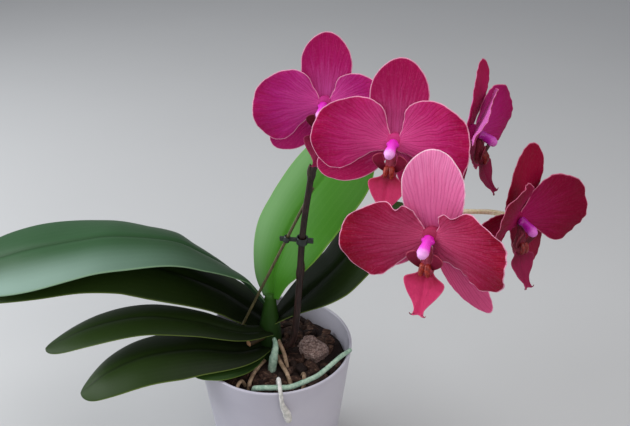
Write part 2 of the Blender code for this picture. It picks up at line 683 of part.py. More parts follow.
def leaf_points(leaf, rows, columns):
    """The grid of points of a leaf's middle surface and its normals, rows from stem to tip."""
    path = smooth_path(leaf.midrib, 200)
    shares = np.sin(np.linspace(0, math.pi / 2, rows)) ** 1.15
    index = np.clip((shares * 199).round().astype(int), 0, 199)
    tangents = tangents_of(path)[index]
    path = path[index]
    grid = np.zeros((rows, columns, 3))
    for i, share in enumerate(shares):
        along = Vector(tangents[i])
        face = Vector(leaf.face_base).lerp(Vector(leaf.face_tip), share)
        up = (face - along * face.dot(along)).normalized()
        across = along.cross(up)
        half = 0.5 * leaf.width * float(leaf_shape(leaf, share))
        fold = leaf.fold_base + (leaf.fold_tip - leaf.fold_base) * min(1.0, share / 0.45)
        for j in range(columns):
            v = 2 * j / (columns - 1) - 1
            angle = math.radians(fold - LEAF_CURL * abs(v))
            grid[i, j] = (
                Vector(path[i])
                + across * (v * half * math.cos(angle))
                + up * (abs(v) * half * math.sin(angle))
            )
    normals = np.cross(np.gradient(grid, axis=0), np.gradient(grid, axis=1))
    normals /= np.linalg.norm(normals, axis=2)[:, :, None]
    return grid, normals


def make_leaf(leaf, look, rows=15, columns=7):
    grid, normals = leaf_points(leaf, rows, columns)
    v = np.abs(np.linspace(-1, 1, columns))
    half = 0.5 * (LEAF_THICK + (LEAF_EDGE - LEAF_THICK) * v**2)
    layers = [(grid + s * normals * half[None, :, None]).reshape(-1, 3) for s in (1, -1)]
    count = rows * columns
    faces = []
    for i in range(rows - 1):
        for j in range(columns - 1):
            a, b = i * columns + j, i * columns + j + 1
            c, d = b + columns, a + columns
            faces += [(a, b, c), (a, c, d)]
            faces += [(count + c, count + b, count + a), (count + d, count + c, count + a)]
    rim = (
        [j for j in range(columns)]
        + [i * columns + columns - 1 for i in range(1, rows)]
        + [(rows - 1) * columns + j for j in range(columns - 2, -1, -1)]
        + [i * columns for i in range(rows - 2, 0, -1)]
    )
    for a, b in zip(rim, rim[1:] + rim[:1]):
        faces += [(a, count + a, count + b), (a, count + b, b)]
    return new_object(leaf.name, np.vstack(layers), faces, look)


def bloom_matrix(bloom):
    """The bloom's frame: x to the viewer's right, y up, z out of its face."""
    turn, nod = math.radians(bloom.turn), math.radians(bloom.nod)
    face = Vector((math.sin(turn) * math.cos(nod), -math.cos(turn) * math.cos(nod), -math.sin(nod)))
    up = (Vector((0, 0, 1)) - face * face.z).normalized()
    up.rotate(Matrix.Rotation(math.radians(-bloom.roll), 3, face))
    right = up.cross(face)
    turn3 = Matrix((right, up, face)).transposed()
    return Matrix.Translation(bloom.centre) @ turn3.to_4x4()


def make_bloom(bloom, looks):
    """The three solids of a bloom, parented to an empty at its middle: tepals, lip and column."""
    holder = bpy.data.objects.new(bloom.name, None)
    bpy.context.scene.collection.objects.link(holder)
    tepals = []
    petal = closed_outline(PETAL_OUTLINE, 22)
    for side in (-1, 1):
        shape = blade(petal, (0.5, 1.0), petal_surface(bloom, side), TEPAL_THICK, TEPAL_EDGE)
        tepals.append(new_object("petal", *shape, None))
    for outline, spin, lean, girth in (
        (DORSAL_OUTLINE, 0, bloom.lean, bloom.girth[0]),
        (LATERAL_OUTLINE, bloom.splay[0], LATERAL_LEAN, bloom.girth[1]),
        (LATERAL_OUTLINE, -bloom.splay[1], LATERAL_LEAN, bloom.girth[2]),
    ):
        sepal = closed_outline(mirrored(outline), 16)
        shape = blade(sepal, (0.55, 1.0), sepal_surface(spin, lean, girth), TEPAL_THICK, TEPAL_EDGE)
        tepals.append(new_object("sepal", *shape, None))
    hub_profile = [(0, -HUB_BACK), (HUB_CORE, -HUB_BACK), (HUB_RADIUS, HUB_WAIST),
                   (HUB_RADIUS, HUB_FRONT), (0, HUB_FRONT)]
    hub = new_object(f"{bloom.name}_tepals", *lathe(hub_profile, 12), looks["tepals"])
    combine(hub, tepals, "UNION")
    hub.data.materials.clear()
    hub.data.materials.append(looks["tepals"])

    lobes = []
    for side in (-1, 1):
        outline = closed_outline(SIDELOBE_OUTLINE, 12)
        shape = blade(outline, (0.6, 1.0), sidelobe_surface(side), SIDELOBE_THICK, TEPAL_EDGE)
        lobes.append(new_object("side_lobe", *shape, None))
    outline = closed_outline(mirrored(MIDLOBE_OUTLINE), 20)
    middle = blade(outline, (0.55, 1.0), midlobe_surface, TEPAL_THICK, TEPAL_EDGE)
    lobes.append(new_object("middle_lobe", *middle, None))
    foot = np.array([(0, -0.0038, HUB_FRONT + GAP + 0.0013), (0, -0.0095, 0.0056), LIP_NECK])
    lip = new_object(f"{bloom.name}_lip", *tube(foot, LIP_FOOT_RADII, 8), looks["lip"])
    combine(lip, lobes, "UNION")
    lip.data.materials.clear()
    lip.data.materials.append(looks["lip"])

    radii = [COLUMN_RADIUS * s for s in (0.85, 0.90, 0.95, 1.05, 1.12, 0.85)]
    column = new_object(f"{bloom.name}_column", *tube(column_path(), radii, 10), looks["column"])
    for part in (hub, lip, column):
        part.parent = holder
    holder.matrix_world = bloom_matrix(bloom)


def make_pedicel(bloom, look):
    """The stalk from the flower stem to the back of a bloom, cut where it meets the stem."""
    frame = bloom_matrix(bloom)
    end = frame @ Vector((0, 0, -HUB_BACK - GAP - 0.35 * PEDICEL_RADIUS))
    behind = frame @ Vector((0, -0.002, -HUB_BACK - PEDICEL_BACK))
    start = Vector(bloom.joins)
    route = [start, start.lerp(behind, 0.5), behind, end]
    radii = (PEDICEL_RADIUS, PEDICEL_RADIUS)
    stalk = tube_object(f"pedicel_{bloom.name[-1]}", route, radii, look, sides=7, spacing=0.004)
    return combine(stalk, [spike("cutter", GAP, None)], "DIFFERENCE")


def stake_point(height):
    """The stake's middle at a height."""
    foot, top = Vector(STAKE_FOOT), Vector(STAKE_TOP)
    return foot.lerp(top, (height - foot.z) / (top.z - foot.z))


def spike_point(height):
    """The flower stem's middle, below its arch, at a height, with its direction."""
    path = smooth_path(SPIKE_PATH, 400)[:200]
    index = int(np.argmin(np.abs(path[:, 2] - height)))
    return Vector(path[index]), Vector(path[index + 2] - path[index - 2]).normalized()


def ring_solid(name, centre, axis, inner, outer, tall):
    """A short open-ended ring about an axis."""
    sides = 16
    side = axis.orthogonal().normalized()
    other = axis.cross(side)
    points = []
    for radius, offset in ((inner, -0.5), (outer, -0.5), (outer, 0.5), (inner, 0.5)):
        for k in range(sides):
            angle = 2 * math.pi * k / sides
            spoke = math.cos(angle) * side + math.sin(angle) * other
            points.append(centre + radius * spoke + offset * tall * axis)
    faces = []
    for row in range(4):
        following = (row + 1) % 4
        for k in range(sides):
            n = (k + 1) % sides
            faces.append((row * sides + k, row * sides + n, following * sides + n, following * sides + k))
    return new_object(name, points, faces, None)


def block(name, centre, right, up, size):
    """A plain block, size along right, up and the direction across both."""
    back = right.cross(up)
    corners = [
        centre + 0.5 * (sx * size[0] * right + sy * size[2] * back + sz * size[1] * up)
        for sx in (-1, 1)
        for sy in (-1, 1)
        for sz in (-1, 1)
    ]
    return new_object(name, corners, BLOCK_FACES, None)


def make_clip(look):
    """The clip: a ring round the stake and a ring round the stem, a bridge, and two finger tabs."""
    stake = stake_point(CLIP_HEIGHT)
    stem, stem_axis = spike_point(CLIP_HEIGHT)
    stake_axis = (Vector(STAKE_TOP) - Vector(STAKE_FOOT)).normalized()
    between = (stem - stake).normalized()
    stem_hole = SPIKE_RADIUS_BASE + GAP
    stake_hole = STAKE_RADIUS + GAP
    tall = CLIP_TALL
    base = ring_solid("clip", stem, stem_axis, stem_hole, stem_hole + CLIP_WALL, tall)
    small = ring_solid("small_ring", stake, stake_axis, stake_hole, stake_hole + CLIP_WALL, tall * 0.8)
    start = stake + between * (stake_hole + 0.5 * CLIP_WALL)
    end = stem - between * (stem_hole + 0.5 * CLIP_WALL)
    up = stem_axis - between * stem_axis.dot(between)
    size = ((end - start).length, *CLIP_BRIDGE)
    bridge = block("bridge", start.lerp(end, 0.5), between, up.normalized(), size)
    out = stem + between * (stem_hole + CLIP_WALL + 0.0018)
    tab = block("tab", out, between, up.normalized(), CLIP_STEM_TAB)
    left = stake - between * (stake_hole + CLIP_WALL + 0.0010)
    tab_left = block("tab_left", left, between, up.normalized(), CLIP_STAKE_TAB)
    combine(base, [small, bridge, tab, tab_left], "UNION")
    base.data.materials.clear()
    base.data.materials.append(look)


def make_root(name, look):
    route, start, end = ROOTS[name]
    return tube_object(name, route, (start, end), look, sides=8, spacing=0.0065)


def root_cutter(name):
    route, start, end = ROOTS[name]
    return tube_object("cutter", route, (start + GAP, end + GAP), None, sides=8, spacing=0.0065)


def make_stake(name, grow, look):
    foot, top = Vector(STAKE_FOOT), Vector(STAKE_TOP)
    path = np.array([foot.lerp(top, s) for s in (0, 0.25, 0.5, 0.75, 1)])
    return new_object(name, *tube(path, [STAKE_RADIUS + grow] * 5, 8), look)


def main():
    clear_scene()
    plastic = material("pot_plastic", LILAC_GREY, 0.42)
    bark_look = material("bark", BARK_BROWN, 0.9)
    leaf_look = material("leaf", LEAF_GREEN, 0.35)
    bright_look = material("leaf_bright", LEAF_BRIGHT, 0.35)
    mint = material("root_mint", ROOT_MINT, 0.6)
    tan = material("root_tan", ROOT_TAN, 0.7)
    brown = material("stem_brown", STEM_BROWN, 0.5)
    green = material("stem_green", STEM_GREEN, 0.5)
    looks = {
        "tepals": material("tepals", MAGENTA, 0.55),
        "lip": material("lip", LIP_CRIMSON, 0.45),
        "column": material("column", COLUMN_PINK, 0.40),
    }

    make_pot(plastic)
    bark = make_bark(bark_look)
    cutters = [root_cutter(name) for name in ROOTS]
    cutters += [crown("cutter", GAP, None), make_stake("cutter", GAP, None), nugget("cutter", GAP, None)]
    combine(bark, cutters, "DIFFERENCE")
    nugget("bark_nugget", 0.0, material("nugget", NUGGET_BROWN, 0.85))

    crown("crown", 0.0, leaf_look)
    for leaf in LEAVES:
        blade_look = bright_look if leaf.name == "leaf_right_1" else leaf_look
        combine(make_leaf(leaf, blade_look), [crown("cutter", GAP, None)], "DIFFERENCE")
    for name in ROOTS:
        look = mint if name in ("root_1", "root_2", "root_3") else tan
        root = make_root(name, look)
        if name in ("root_1", "root_4", "root_6", "root_8"):
            combine(root, [crown("cutter", GAP, None), spike("cutter", GAP, None)], "DIFFERENCE")

    stub = tube_object("cut_stub", CUT_STUB, (CUT_STUB_RADIUS, CUT_STUB_RADIUS), tan, sides=9, spacing=0.005)
    combine(stub, [crown("cutter", GAP, None)], "DIFFERENCE")

    stem = spike("flower_stem", 0.0, brown)
    combine(stem, bracts(), "UNION")
    combine(stem, [crown("cutter", GAP, None)], "DIFFERENCE")
    make_stake("stake", 0.0, tan)
    make_clip(material("clip", CLIP_DARK, 0.35))
    for bloom in BLOOMS:
        make_bloom(bloom, looks)
        make_pedicel(bloom, green)


main()
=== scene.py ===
"""A moth orchid in a plain plastic pot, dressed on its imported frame.

Metres, +Z up, with the origin at the centre of the pot's underside, as in the CAD model.
"""

import math
import random
from collections import namedtuple

import bmesh
import bpy
import numpy as np
from mathutils import Matrix, Vector, noise


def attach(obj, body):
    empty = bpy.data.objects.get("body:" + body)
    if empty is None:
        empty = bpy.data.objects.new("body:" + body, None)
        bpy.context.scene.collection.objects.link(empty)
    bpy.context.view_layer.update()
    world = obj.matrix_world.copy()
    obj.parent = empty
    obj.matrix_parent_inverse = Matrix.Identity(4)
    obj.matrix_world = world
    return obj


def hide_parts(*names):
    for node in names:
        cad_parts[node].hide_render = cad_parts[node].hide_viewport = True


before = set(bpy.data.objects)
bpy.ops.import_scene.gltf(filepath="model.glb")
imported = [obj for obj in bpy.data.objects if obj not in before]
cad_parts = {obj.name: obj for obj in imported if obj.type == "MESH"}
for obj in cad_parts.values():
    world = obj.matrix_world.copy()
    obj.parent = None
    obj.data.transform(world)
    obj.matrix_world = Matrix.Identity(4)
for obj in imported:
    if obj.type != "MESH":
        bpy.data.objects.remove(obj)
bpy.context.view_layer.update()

# The photograph's view
CAMERA_PLACE = (0.03466, -0.5440, 0.5668)
CAMERA_PITCH = 60.0
CAMERA_LENS = 45.714

# The pot, with the CAD source's values
POT_HEIGHT = 0.125
POT_RIM_RADIUS = 0.0665
POT_BASE_RADIUS = 0.0520
POT_WALL = 0.0025
POT_FLOOR = 0.0030
GAP = 0.0003

# How the dressed pot is rounded at its foot, outside and inside
FOOT_ROUND = 0.0022
FLOOR_ROUND = 0.0030

# The potting bark, and the least and most half sizes of its chips
BARK_LEVEL = 0.1055
BARK_MOUND = 0.0105
BARK_RIPPLE = 0.0012
BED_SINK = 0.0022
BARK_CHIPS = 230
BARK_TRIES = 4000
BARK_SEED = 11
CHIP_SPREAD = 0.0585
CHIP_LEAST = (0.0032, 0.0026, 0.0014)
CHIP_MOST = (0.0085, 0.0052, 0.0034)
CHIP_LEVELS = (-0.0034, 0.0004)
CHIP_TILT = 0.5
CROWN_FOOT = (-0.0040, -0.0035)
CROWN_CLEAR = 0.0105
NUGGET_CLEAR = 0.0110
NUGGET_CENTRE = (0.0326, 0.0002, 0.1142)
NUGGET_HALF = (0.0128, 0.0104, 0.0092)

# Parts of a bloom, in the bloom's own frame: x to the viewer's right, y up, z out of its face.
# A thickness is that of the middle and of the rim
HUB_RADIUS = 0.0048
HUB_FRONT = 0.0030
HUB_BACK = 0.0045
HUB_PROFILE = [(0.0012, -HUB_BACK), (0.0024, -HUB_BACK + 0.0003), (0.0038, -0.0028), (HUB_RADIUS, -0.0008),
               (HUB_RADIUS, 0.0014), (0.0040, 0.0026), (0.0020, HUB_FRONT)]
TEPAL_THICKNESS = (0.0010, 0.00055)
LOBE_THICKNESS = (0.0010, 0.0006)
SIDELOBE_THICKNESS = (0.0008, 0.0006)
PETAL_DEPTH = 0.0012
PETAL_REACH = 0.043
PETAL_HALF = 0.020
PETAL_BELLY = 0.0030
PETAL_ROLL = 0.0014
PETAL_WAVES = 5
PETAL_FLARE_REACH = 0.014
PETAL_RAGGED = 0.018
RIDGE_ROUND = 0.0025
CURL_HALF = (0.0026, 0.0040)
CURL_DOWN = 0.0034
CURL_FORWARD = 0.0030
SEPAL_DEPTH = -0.0020
SEPAL_REACH = 0.047
SEPAL_HALF = 0.015
SEPAL_DISH = 0.0016
SEPAL_BELLY = 0.0014
SEPAL_CRINKLE = 0.00016
SEPAL_RAGGED = 0.008
LATERAL_LEAN = -2
COLUMN_LENGTH = 0.0098
COLUMN_RADIUS = 0.0027
COLUMN_DROP = 22.0
LIP_NECK = (0.0, -0.0153, 0.0056)
LIP_LENGTH = 0.0232
LIP_FORWARD = 17.0
LIP_HALF = 0.010
LIP_DISH = 0.0016
LIP_HOOK = 0.0040
LIP_FOOT_RADII = (0.0016, 0.0028, 0.0038)
SIDELOBE_REACH = 0.0135
SIDELOBE_FOOT = (0.0012, -0.0148, 0.0066)
SIDELOBE_RISE = 0.78
SIDELOBE_BOW = 0.0040
SIDELOBE_OPEN = 0.80
PEDICEL_RADIUS = 0.0014
PEDICEL_BACK = 0.012

PETAL_OUTLINE = [
    (0.0010, -0.0035), (0.0095, -0.0055), (0.0160, -0.0095), (0.0225, -0.0140), (0.0290, -0.0168),
    (0.0360, -0.0155), (0.0415, -0.0085), (0.0438, 0.0015), (0.0400, 0.0140), (0.0335, 0.0205),
    (0.0255, 0.0237), (0.0180, 0.0245), (0.0110, 0.0230), (0.0056, 0.0185), (0.0040, 0.0110),
    (0.0020, 0.0035),
]
DORSAL_OUTLINE = [
    (0.0000, -0.0020), (0.0058, 0.0006), (0.0098, 0.0050), (0.0130, 0.0095), (0.0149, 0.0150),
    (0.0156, 0.0215), (0.0154, 0.0290), (0.0128, 0.0358), (0.0080, 0.0412), (0.0036, 0.0438),
    (0.0000, 0.0444),
]
LATERAL_OUTLINE = [
    (0.0000, -0.0020), (0.0045, 0.0010), (0.0070, 0.0070), (0.0112, 0.0160), (0.0126, 0.0260),
    (0.0108, 0.0365), (0.0056, 0.0450), (0.0000, 0.0480),
]
MIDLOBE_OUTLINE = [
    (0.0000, -0.0020), (0.0026, 0.0000), (0.0048, 0.0028), (0.0098, 0.0052), (0.0101, 0.0082),
    (0.0078, 0.0128), (0.0044, 0.0172), (0.0026, 0.0206), (0.0028, 0.0232), (0.0000, 0.0224),
]
SIDELOBE_OUTLINE = [
    (0.0000, -0.0010), (0.0035, 0.0010), (0.0052, 0.0060), (0.0045, 0.0110), (0.0006, 0.0135),
    (-0.0018, 0.0105), (-0.0022, 0.0050), (-0.0020, 0.0010),
]

# The points round the rim of each kind of blade
PETAL_POINTS = 150
SEPAL_POINTS = 104
MIDLOBE_POINTS = 96
SIDELOBE_POINTS = 64

# The materials of a bloom and of a lip, as their numbers
PETAL, UPPER_SEPAL, BACK, LOWER_SEPAL = range(4)
MIDDLE_LOBE, SIDE_LOBES, CALLUS, TENDRILS = range(4)

# Where a blade's rings lie between its middle and its rim, and where its rim starts to round off
BLADE_SHARES = np.concatenate([np.linspace(0.06, 0.84, 16), [0.88, 0.915, 0.945, 0.967, 0.984, 0.995, 1.0]])
ROUNDED_FROM = 0.9

# Marks on a blade are distances over MARK_REACH, and the distance from its rim over RIM_BAND
MARK_REACH = 0.045
RIM_BAND = 0.004

# The bloom's values, as in the CAD source: angles in degrees, and the left petal first
BLOOM_VALUES = "name centre turn nod roll cup lift twist splay lean girth stretch flare wave joins"
Bloom = namedtuple("Bloom", BLOOM_VALUES)
BLOOMS = [
    Bloom("bloom_1", (0.0409, -0.0878, 0.3808), -14, -3, 2, (12, 7), (-15, -7), (0, 0), (135, 136), 3,
          (1.0, 1.0, 1.0), ((1.03, 1.04, 1.04), (1.00, 0.99, 0.99)), (0.0, 0.0), 0.0010,
          (0.0606, -0.0528, 0.3489)),
    Bloom("bloom_2", (0.0768, -0.1613, 0.3892), -18, -10, 1, (7, 18), (-4, 2), (0, 0), (118, 136), 3,
          (1.0, 1.0, 1.0), ((1.03, 0.95, 0.95), (0.99, 1.00, 1.00)), (0.0, 0.0), 0.0009,
          (0.0961, -0.1018, 0.3819)),
    Bloom("bloom_3", (0.0906, -0.2190, 0.3668), -28, -3, -3, (10, 24), (-13, 0), (0, 4), (112, 141), 3,
          (1.0, 1.0, 0.65), ((1.07, 0.82, 1.11), (1.04, 0.74, 1.02)), (0.6, 1.5), 0.0014,
          (0.1047, -0.1848, 0.3475)),
    Bloom("bloom_4", (0.1229, -0.1306, 0.3807), 62, -2, -4, (29, 13), (37, -4), (29, 0), (136, 136), 7,
          (0.92, 1.0, 1.0), ((0.90, 0.92, 0.80), (1.00, 0.90, 0.90)), (0.0, 0.0), 0.0006,
          (0.1046, -0.1138, 0.3819)),
    Bloom("bloom_5", (0.1439, -0.1664, 0.3455), 41, -4, 8, (21, 21), (9, 0), (18, 8), (110, 136), 6,
          (0.92, 1.0, 1.0), ((1.00, 1.00, 1.00), (1.05, 1.06, 0.98)), (0.0, 0.0), 0.0010,
          (0.1056, -0.1690, 0.3515)),
]

# Petals with a ridge along the middle, deeper crinkles or a curled corner, left one first
PETAL_RIDGES = {"bloom_3": (0.05, 0.22), "bloom_2": (0.05, 0.08)}
PETAL_CRINKLES = {"bloom_3": 0.00040, "bloom_5": 0.00035}
PLAIN_CRINKLE = 0.00022
PLAIN_RIDGES = (0.04, 0.04)
PETAL_CURLS = {"bloom_3": ((0.0135, 0.0250), (0.0125, 0.0250))}

# The leaf's values, as in the CAD source: the midrib runs from stem to tip
Leaf = namedtuple("Leaf", "name midrib width neck swell face_base face_tip fold_base fold_tip")
LEAVES = [
    Leaf("leaf_left_1", [(-0.0034, 0.0062, 0.1549), (-0.0107, 0.0102, 0.1619), (-0.0244, 0.0137, 0.1779),
                         (-0.0404, 0.0122, 0.1940), (-0.0594, 0.0112, 0.2078), (-0.0824, 0.0112, 0.2200),
                         (-0.1254, 0.0112, 0.2244), (-0.1584, 0.0112, 0.2208), (-0.1934, 0.0112, 0.2135),
                         (-0.2254, 0.0112, 0.2040), (-0.2654, 0.0092, 0.1890)],
         0.096, 0.18, 0.42, (0.30, 0.55, 0.80), (-0.30, -0.34, 0.87), 14, 2),
    Leaf("leaf_left_2", [(-0.0034, 0.0072, 0.1390), (-0.0264, 0.0198, 0.1487), (-0.0474, 0.0205, 0.1642),
                         (-0.0794, 0.0125, 0.1865), (-0.1084, 0.0112, 0.1975), (-0.1254, 0.0112, 0.2010),
                         (-0.1584, 0.0112, 0.2010), (-0.1934, 0.0112, 0.1940), (-0.2274, 0.0112, 0.1845),
                         (-0.2654, 0.0102, 0.1689)],
         0.066, 0.46, 0.42, (0.22, -0.10, 0.95), (-0.30, -0.24, 0.90), 12, 2),
    Leaf("leaf_left_3", [(-0.0034, -0.0068, 0.1415), (-0.0274, -0.0205, 0.1510), (-0.0634, -0.0225, 0.1632),
                         (-0.1034, -0.0208, 0.1668), (-0.1484, -0.0198, 0.1552), (-0.1905, -0.0208, 0.1338)],
         0.044, 0.30, 0.80, (0.15, -0.05, 0.98), (-0.30, -0.05, 0.95), 14, 4),
    Leaf("leaf_left_4", [(-0.0054, -0.0078, 0.1270), (-0.0274, -0.0238, 0.1339), (-0.0634, -0.0298, 0.1405),
                         (-0.1034, -0.0358, 0.1379), (-0.1344, -0.0418, 0.1259), (-0.1584, -0.0468, 0.1079)],
         0.057, 0.24, 0.50, (0.10, -0.10, 0.98), (-0.40, -0.14, 0.90), 20, 2),
    Leaf("leaf_left_5", [(-0.0084, -0.0068, 0.1215), (-0.0234, -0.0228, 0.1270), (-0.0384, -0.0348, 0.1305),
                         (-0.0534, -0.0413, 0.1322), (-0.0664, -0.0458, 0.1305)],
         0.032, 0.24, 0.50, (0.10, -0.10, 0.98), (-0.10, -0.10, 0.98), 8, 0),
    Leaf("leaf_right_1", [(-0.0010, 0.0018, 0.1698), (0.0018, 0.0124, 0.1905), (0.0144, 0.0273, 0.2229),
                          (0.0306, 0.0402, 0.2449), (0.0526, 0.0582, 0.2669), (0.0746, 0.0722, 0.2879)],
         0.082, 0.26, 0.38, (-0.75, -0.50, 0.45), (-0.45, -0.70, 0.55), 22, 6),
    Leaf("leaf_right_2", [(-0.0014, -0.0008, 0.1449), (0.0261, 0.0107, 0.1649), (0.0506, 0.0152, 0.1889),
                          (0.0716, 0.0202, 0.2139), (0.0926, 0.0242, 0.2309), (0.1126, 0.0312, 0.2399)],
         0.060, 0.22, 0.50, (-0.60, -0.10, 0.78), (-0.35, -0.45, 0.82), 30, 6),
]
LEAF_THICK = 0.0018
LEAF_EDGE = 0.0010
LEAF_CURL = 13
LEAF_WAVE = 0.0005
LEAF_GROOVE = 0.0010
GROOVE_HALF = 0.0030

# Where a leaf's lengthwise rows of points lie, from its midrib to its edge
LEAF_COLUMNS = np.array([0.0, 0.018, 0.04, 0.07, 0.11, 0.17, 0.25, 0.35, 0.45, 0.55, 0.65, 0.75, 0.83, 0.89,
                         0.93, 0.957, 0.977, 0.991, 1.0])

# The short stem that the leaves sheathe
CROWN_PATH = [(-0.0044, -0.0038, 0.0969), (-0.0034, -0.0028, 0.1269), (-0.0034, 0.0002, 0.1549),
              (-0.0028, 0.0016, 0.1712)]
CROWN_RADII = (0.0105, 0.0100, 0.0080, 0.0045)

# The flower stem, its nodes, and the stake that a clip holds it to
SPIKE_PATH = [
    (-0.0014, -0.0058, 0.1229), (0.0106, -0.0108, 0.1279), (0.0171, -0.0128, 0.1419),
    (0.0216, -0.0128, 0.1869), (0.0246, -0.0148, 0.2369), (0.0296, -0.0258, 0.2829),
    (0.0356, -0.0378, 0.3149), (0.0551, -0.0463, 0.3414), (0.0816, -0.0778, 0.3689),
    (0.1011, -0.1063, 0.3824), (0.1048, -0.1418, 0.3735), (0.1054, -0.1718, 0.3520),
    (0.1042, -0.1908, 0.3440),
]
SPIKE_RADIUS_BASE = 0.0030
SPIKE_RADIUS_TIP = 0.0016
SPIKE_NODES = (0.22, 0.46)
NODE_SWELL = 0.0007
NODE_REACH = 0.010
SHEATH_LENGTH = 0.010
SHEATH_STATIONS = (0, 0.35, 0.7, 1.0)
SHEATH_RADII = (0.0030, 0.0027, 0.0017, 0.0003)
STAKE_FOOT = (-0.0449, 0.0012, 0.1029)
STAKE_TOP = (0.0331, -0.0183, 0.2849)
STAKE_RADIUS = 0.0012
CLIP_HEIGHT = 0.237
CLIP_TALL = 0.0060
CLIP_WALL = 0.0014
CLIP_BRIDGE = (0.0036, 0.0018)
CLIP_STEM_TAB = (0.0048, 0.0050, 0.0016)
CLIP_STAKE_TAB = (0.0034, 0.0042, 0.0016)

# Roots above the bark: the route, and the radius at each end
ROOTS = {
    "root_1": ([(-0.0010, -0.0078, 0.1360), (0.0014, -0.0154, 0.1319), (-0.0008, -0.0214, 0.1205),
                (-0.0034, -0.0242, 0.1009)],
               0.0028, 0.0036),
    "root_2": ([(-0.0150, -0.0430, 0.1020), (-0.0150, -0.0495, 0.1150), (-0.0105, -0.0545, 0.1208),
                (0.0030, -0.0568, 0.1232), (0.0145, -0.0572, 0.1243), (0.0250, -0.0525, 0.1250),
                (0.0365, -0.0450, 0.1254), (0.0460, -0.0350, 0.1262), (0.0560, -0.0240, 0.1276),
                (0.0642, -0.0158, 0.1277)],
               0.0024, 0.0019),
    "root_3": ([(0.0040, -0.0460, 0.1030), (0.0045, -0.0500, 0.1210), (0.0055, -0.0555, 0.1312),
                (0.0068, -0.0645, 0.1310), (0.0078, -0.0690, 0.1250), (0.0088, -0.0684, 0.1150),
                (0.0118, -0.0674, 0.1060), (0.0132, -0.0670, 0.0985)],
               0.0018, 0.0028),
    "root_4": ([(-0.0074, -0.0098, 0.1129), (-0.0114, -0.0203, 0.1164), (-0.0164, -0.0318, 0.1164),
                (-0.0194, -0.0398, 0.1134), (-0.0214, -0.0438, 0.1029)],
               0.0019, 0.0017),
    "root_5": ([(-0.0225, -0.0360, 0.1030), (-0.0255, -0.0430, 0.1175), (-0.0285, -0.0500, 0.1180),
                (-0.0290, -0.0518, 0.1060)],
               0.0016, 0.0015),
    "root_6": ([(0.0016, -0.0098, 0.1179), (0.0060, -0.0218, 0.1184), (0.0121, -0.0348, 0.1164),
                (0.0175, -0.0438, 0.1029)],
               0.0019, 0.0017),
    "root_7": ([(0.0216, -0.0238, 0.1029), (0.0251, -0.0308, 0.1149), (0.0256, -0.0398, 0.1144),
                (0.0236, -0.0450, 0.1019)],
               0.0018, 0.0016),
    "root_8": ([(0.0034, -0.0078, 0.1316), (0.0086, -0.0178, 0.1256), (0.0122, -0.0238, 0.1089),
                (0.0124, -0.0250, 0.0999)],
               0.0018, 0.0016),
}
CUT_STUB = [(-0.0054, -0.0048, 0.1362), (-0.0134, -0.0123, 0.1374), (-0.0209, -0.0192, 0.1380)]
CUT_STUB_RADIUS = 0.0030

# Roots whose thickness changes on the way: shares of the length, and shares of the radius
ROOT_PROFILES = {
    "root_1": ((0, 0.25, 0.45, 0.75, 1), (0.60, 0.85, 1.20, 1.05, 0.85)),
    "root_3": ((0, 0.55, 0.74, 0.84, 0.93, 1), (0.85, 0.72, 0.72, 1.05, 1.28, 1.05)),
}

# The angles of the rings that round off a tube's end, and the marks of a shell that needs none
DOME = np.radians([28, 54, 76])
NO_MARKS = (0, 0, 0)

# Colours are screen values of 0 to 255. A petal and an upper sepal have one near the base, one in the middle
# and one further out. bloom_4's darker petals and sepals and all of bloom_5's darker colours are painted
# shade, and bloom_4's pale lilac back is painted light
BLOOM_COLOURS = {
    "bloom_1": {"petal": ((226, 84, 170), (178, 34, 120), (162, 18, 86)),
                "sepal": ((222, 92, 176), (176, 28, 104), (164, 16, 84)),
                "lower": (166, 26, 98), "back": (196, 84, 150)},
    "bloom_2": {"petal": ((222, 84, 150), (182, 34, 104), (156, 6, 66)),
                "sepal": ((214, 92, 156), (172, 30, 92), (158, 14, 74)),
                "lower": (172, 26, 86), "back": (206, 100, 156)},
    "bloom_3": {"petal": ((196, 76, 118), (156, 32, 72), (134, 6, 38)),
                "sepal": ((206, 82, 138), (238, 114, 168), (248, 136, 188)),
                "lower": (214, 84, 134), "back": (176, 84, 128)},
    "bloom_4": {"petal": ((190, 44, 140), (164, 18, 100), (152, 8, 82)),
                "sepal": ((184, 30, 104), (176, 20, 88), (164, 10, 72)),
                "lower": (144, 10, 66), "back": (226, 116, 202)},
    "bloom_5": {"petal": ((164, 26, 92), (128, 6, 50), (116, 1, 38)),
                "sepal": ((156, 14, 62), (148, 8, 52), (138, 4, 44)),
                "lower": (132, 6, 48), "back": (160, 30, 72)},
}
# Blooms whose rims and columns, and blooms whose lips, take darker copies of their looks: painted shade for
# those in shade
SHADED_BLOOMS = ("bloom_4", "bloom_5")
SHADED_LIPS = ("bloom_1", *SHADED_BLOOMS)
PALE_SEPALS = ("bloom_3",)
PALE_EDGE = (236, 160, 190)
# The darker rim of the shaded blooms: painted shade
SHADED_EDGE = (212, 116, 148)
PALEST_EDGE = (252, 210, 226)
PALE_SEPAL_VEIN = (184, 58, 120)
SEPAL_FAN = {"back": 0.45, "wander": 0.10}
COLUMN_HOLLOW = (92, 96, 66)

# A lobe has its body, its deep part and its edge, and the callus and tendrils have two tones each. The side
# lobes' deep maroon is partly their own colour and partly painted shade on their inner faces, and the second,
# darker lip set is painted shade
LIP_COLOURS = {
    "lip": {"middle": ((206, 48, 102), (150, 10, 40), (224, 94, 140)),
            "sides": ((150, 24, 66), (84, 2, 18), (186, 84, 104)),
            "callus": ((128, 18, 12), (172, 50, 32)), "tendrils": ((150, 34, 64), (110, 20, 44))},
    "dusky_lip": {"middle": ((146, 26, 72), (96, 4, 30), (176, 62, 108)),
                  "sides": ((104, 8, 34), (66, 2, 16), (150, 60, 80)),
                  "callus": ((104, 16, 22), (140, 34, 30)), "tendrils": ((124, 24, 60), (92, 12, 40))},
}
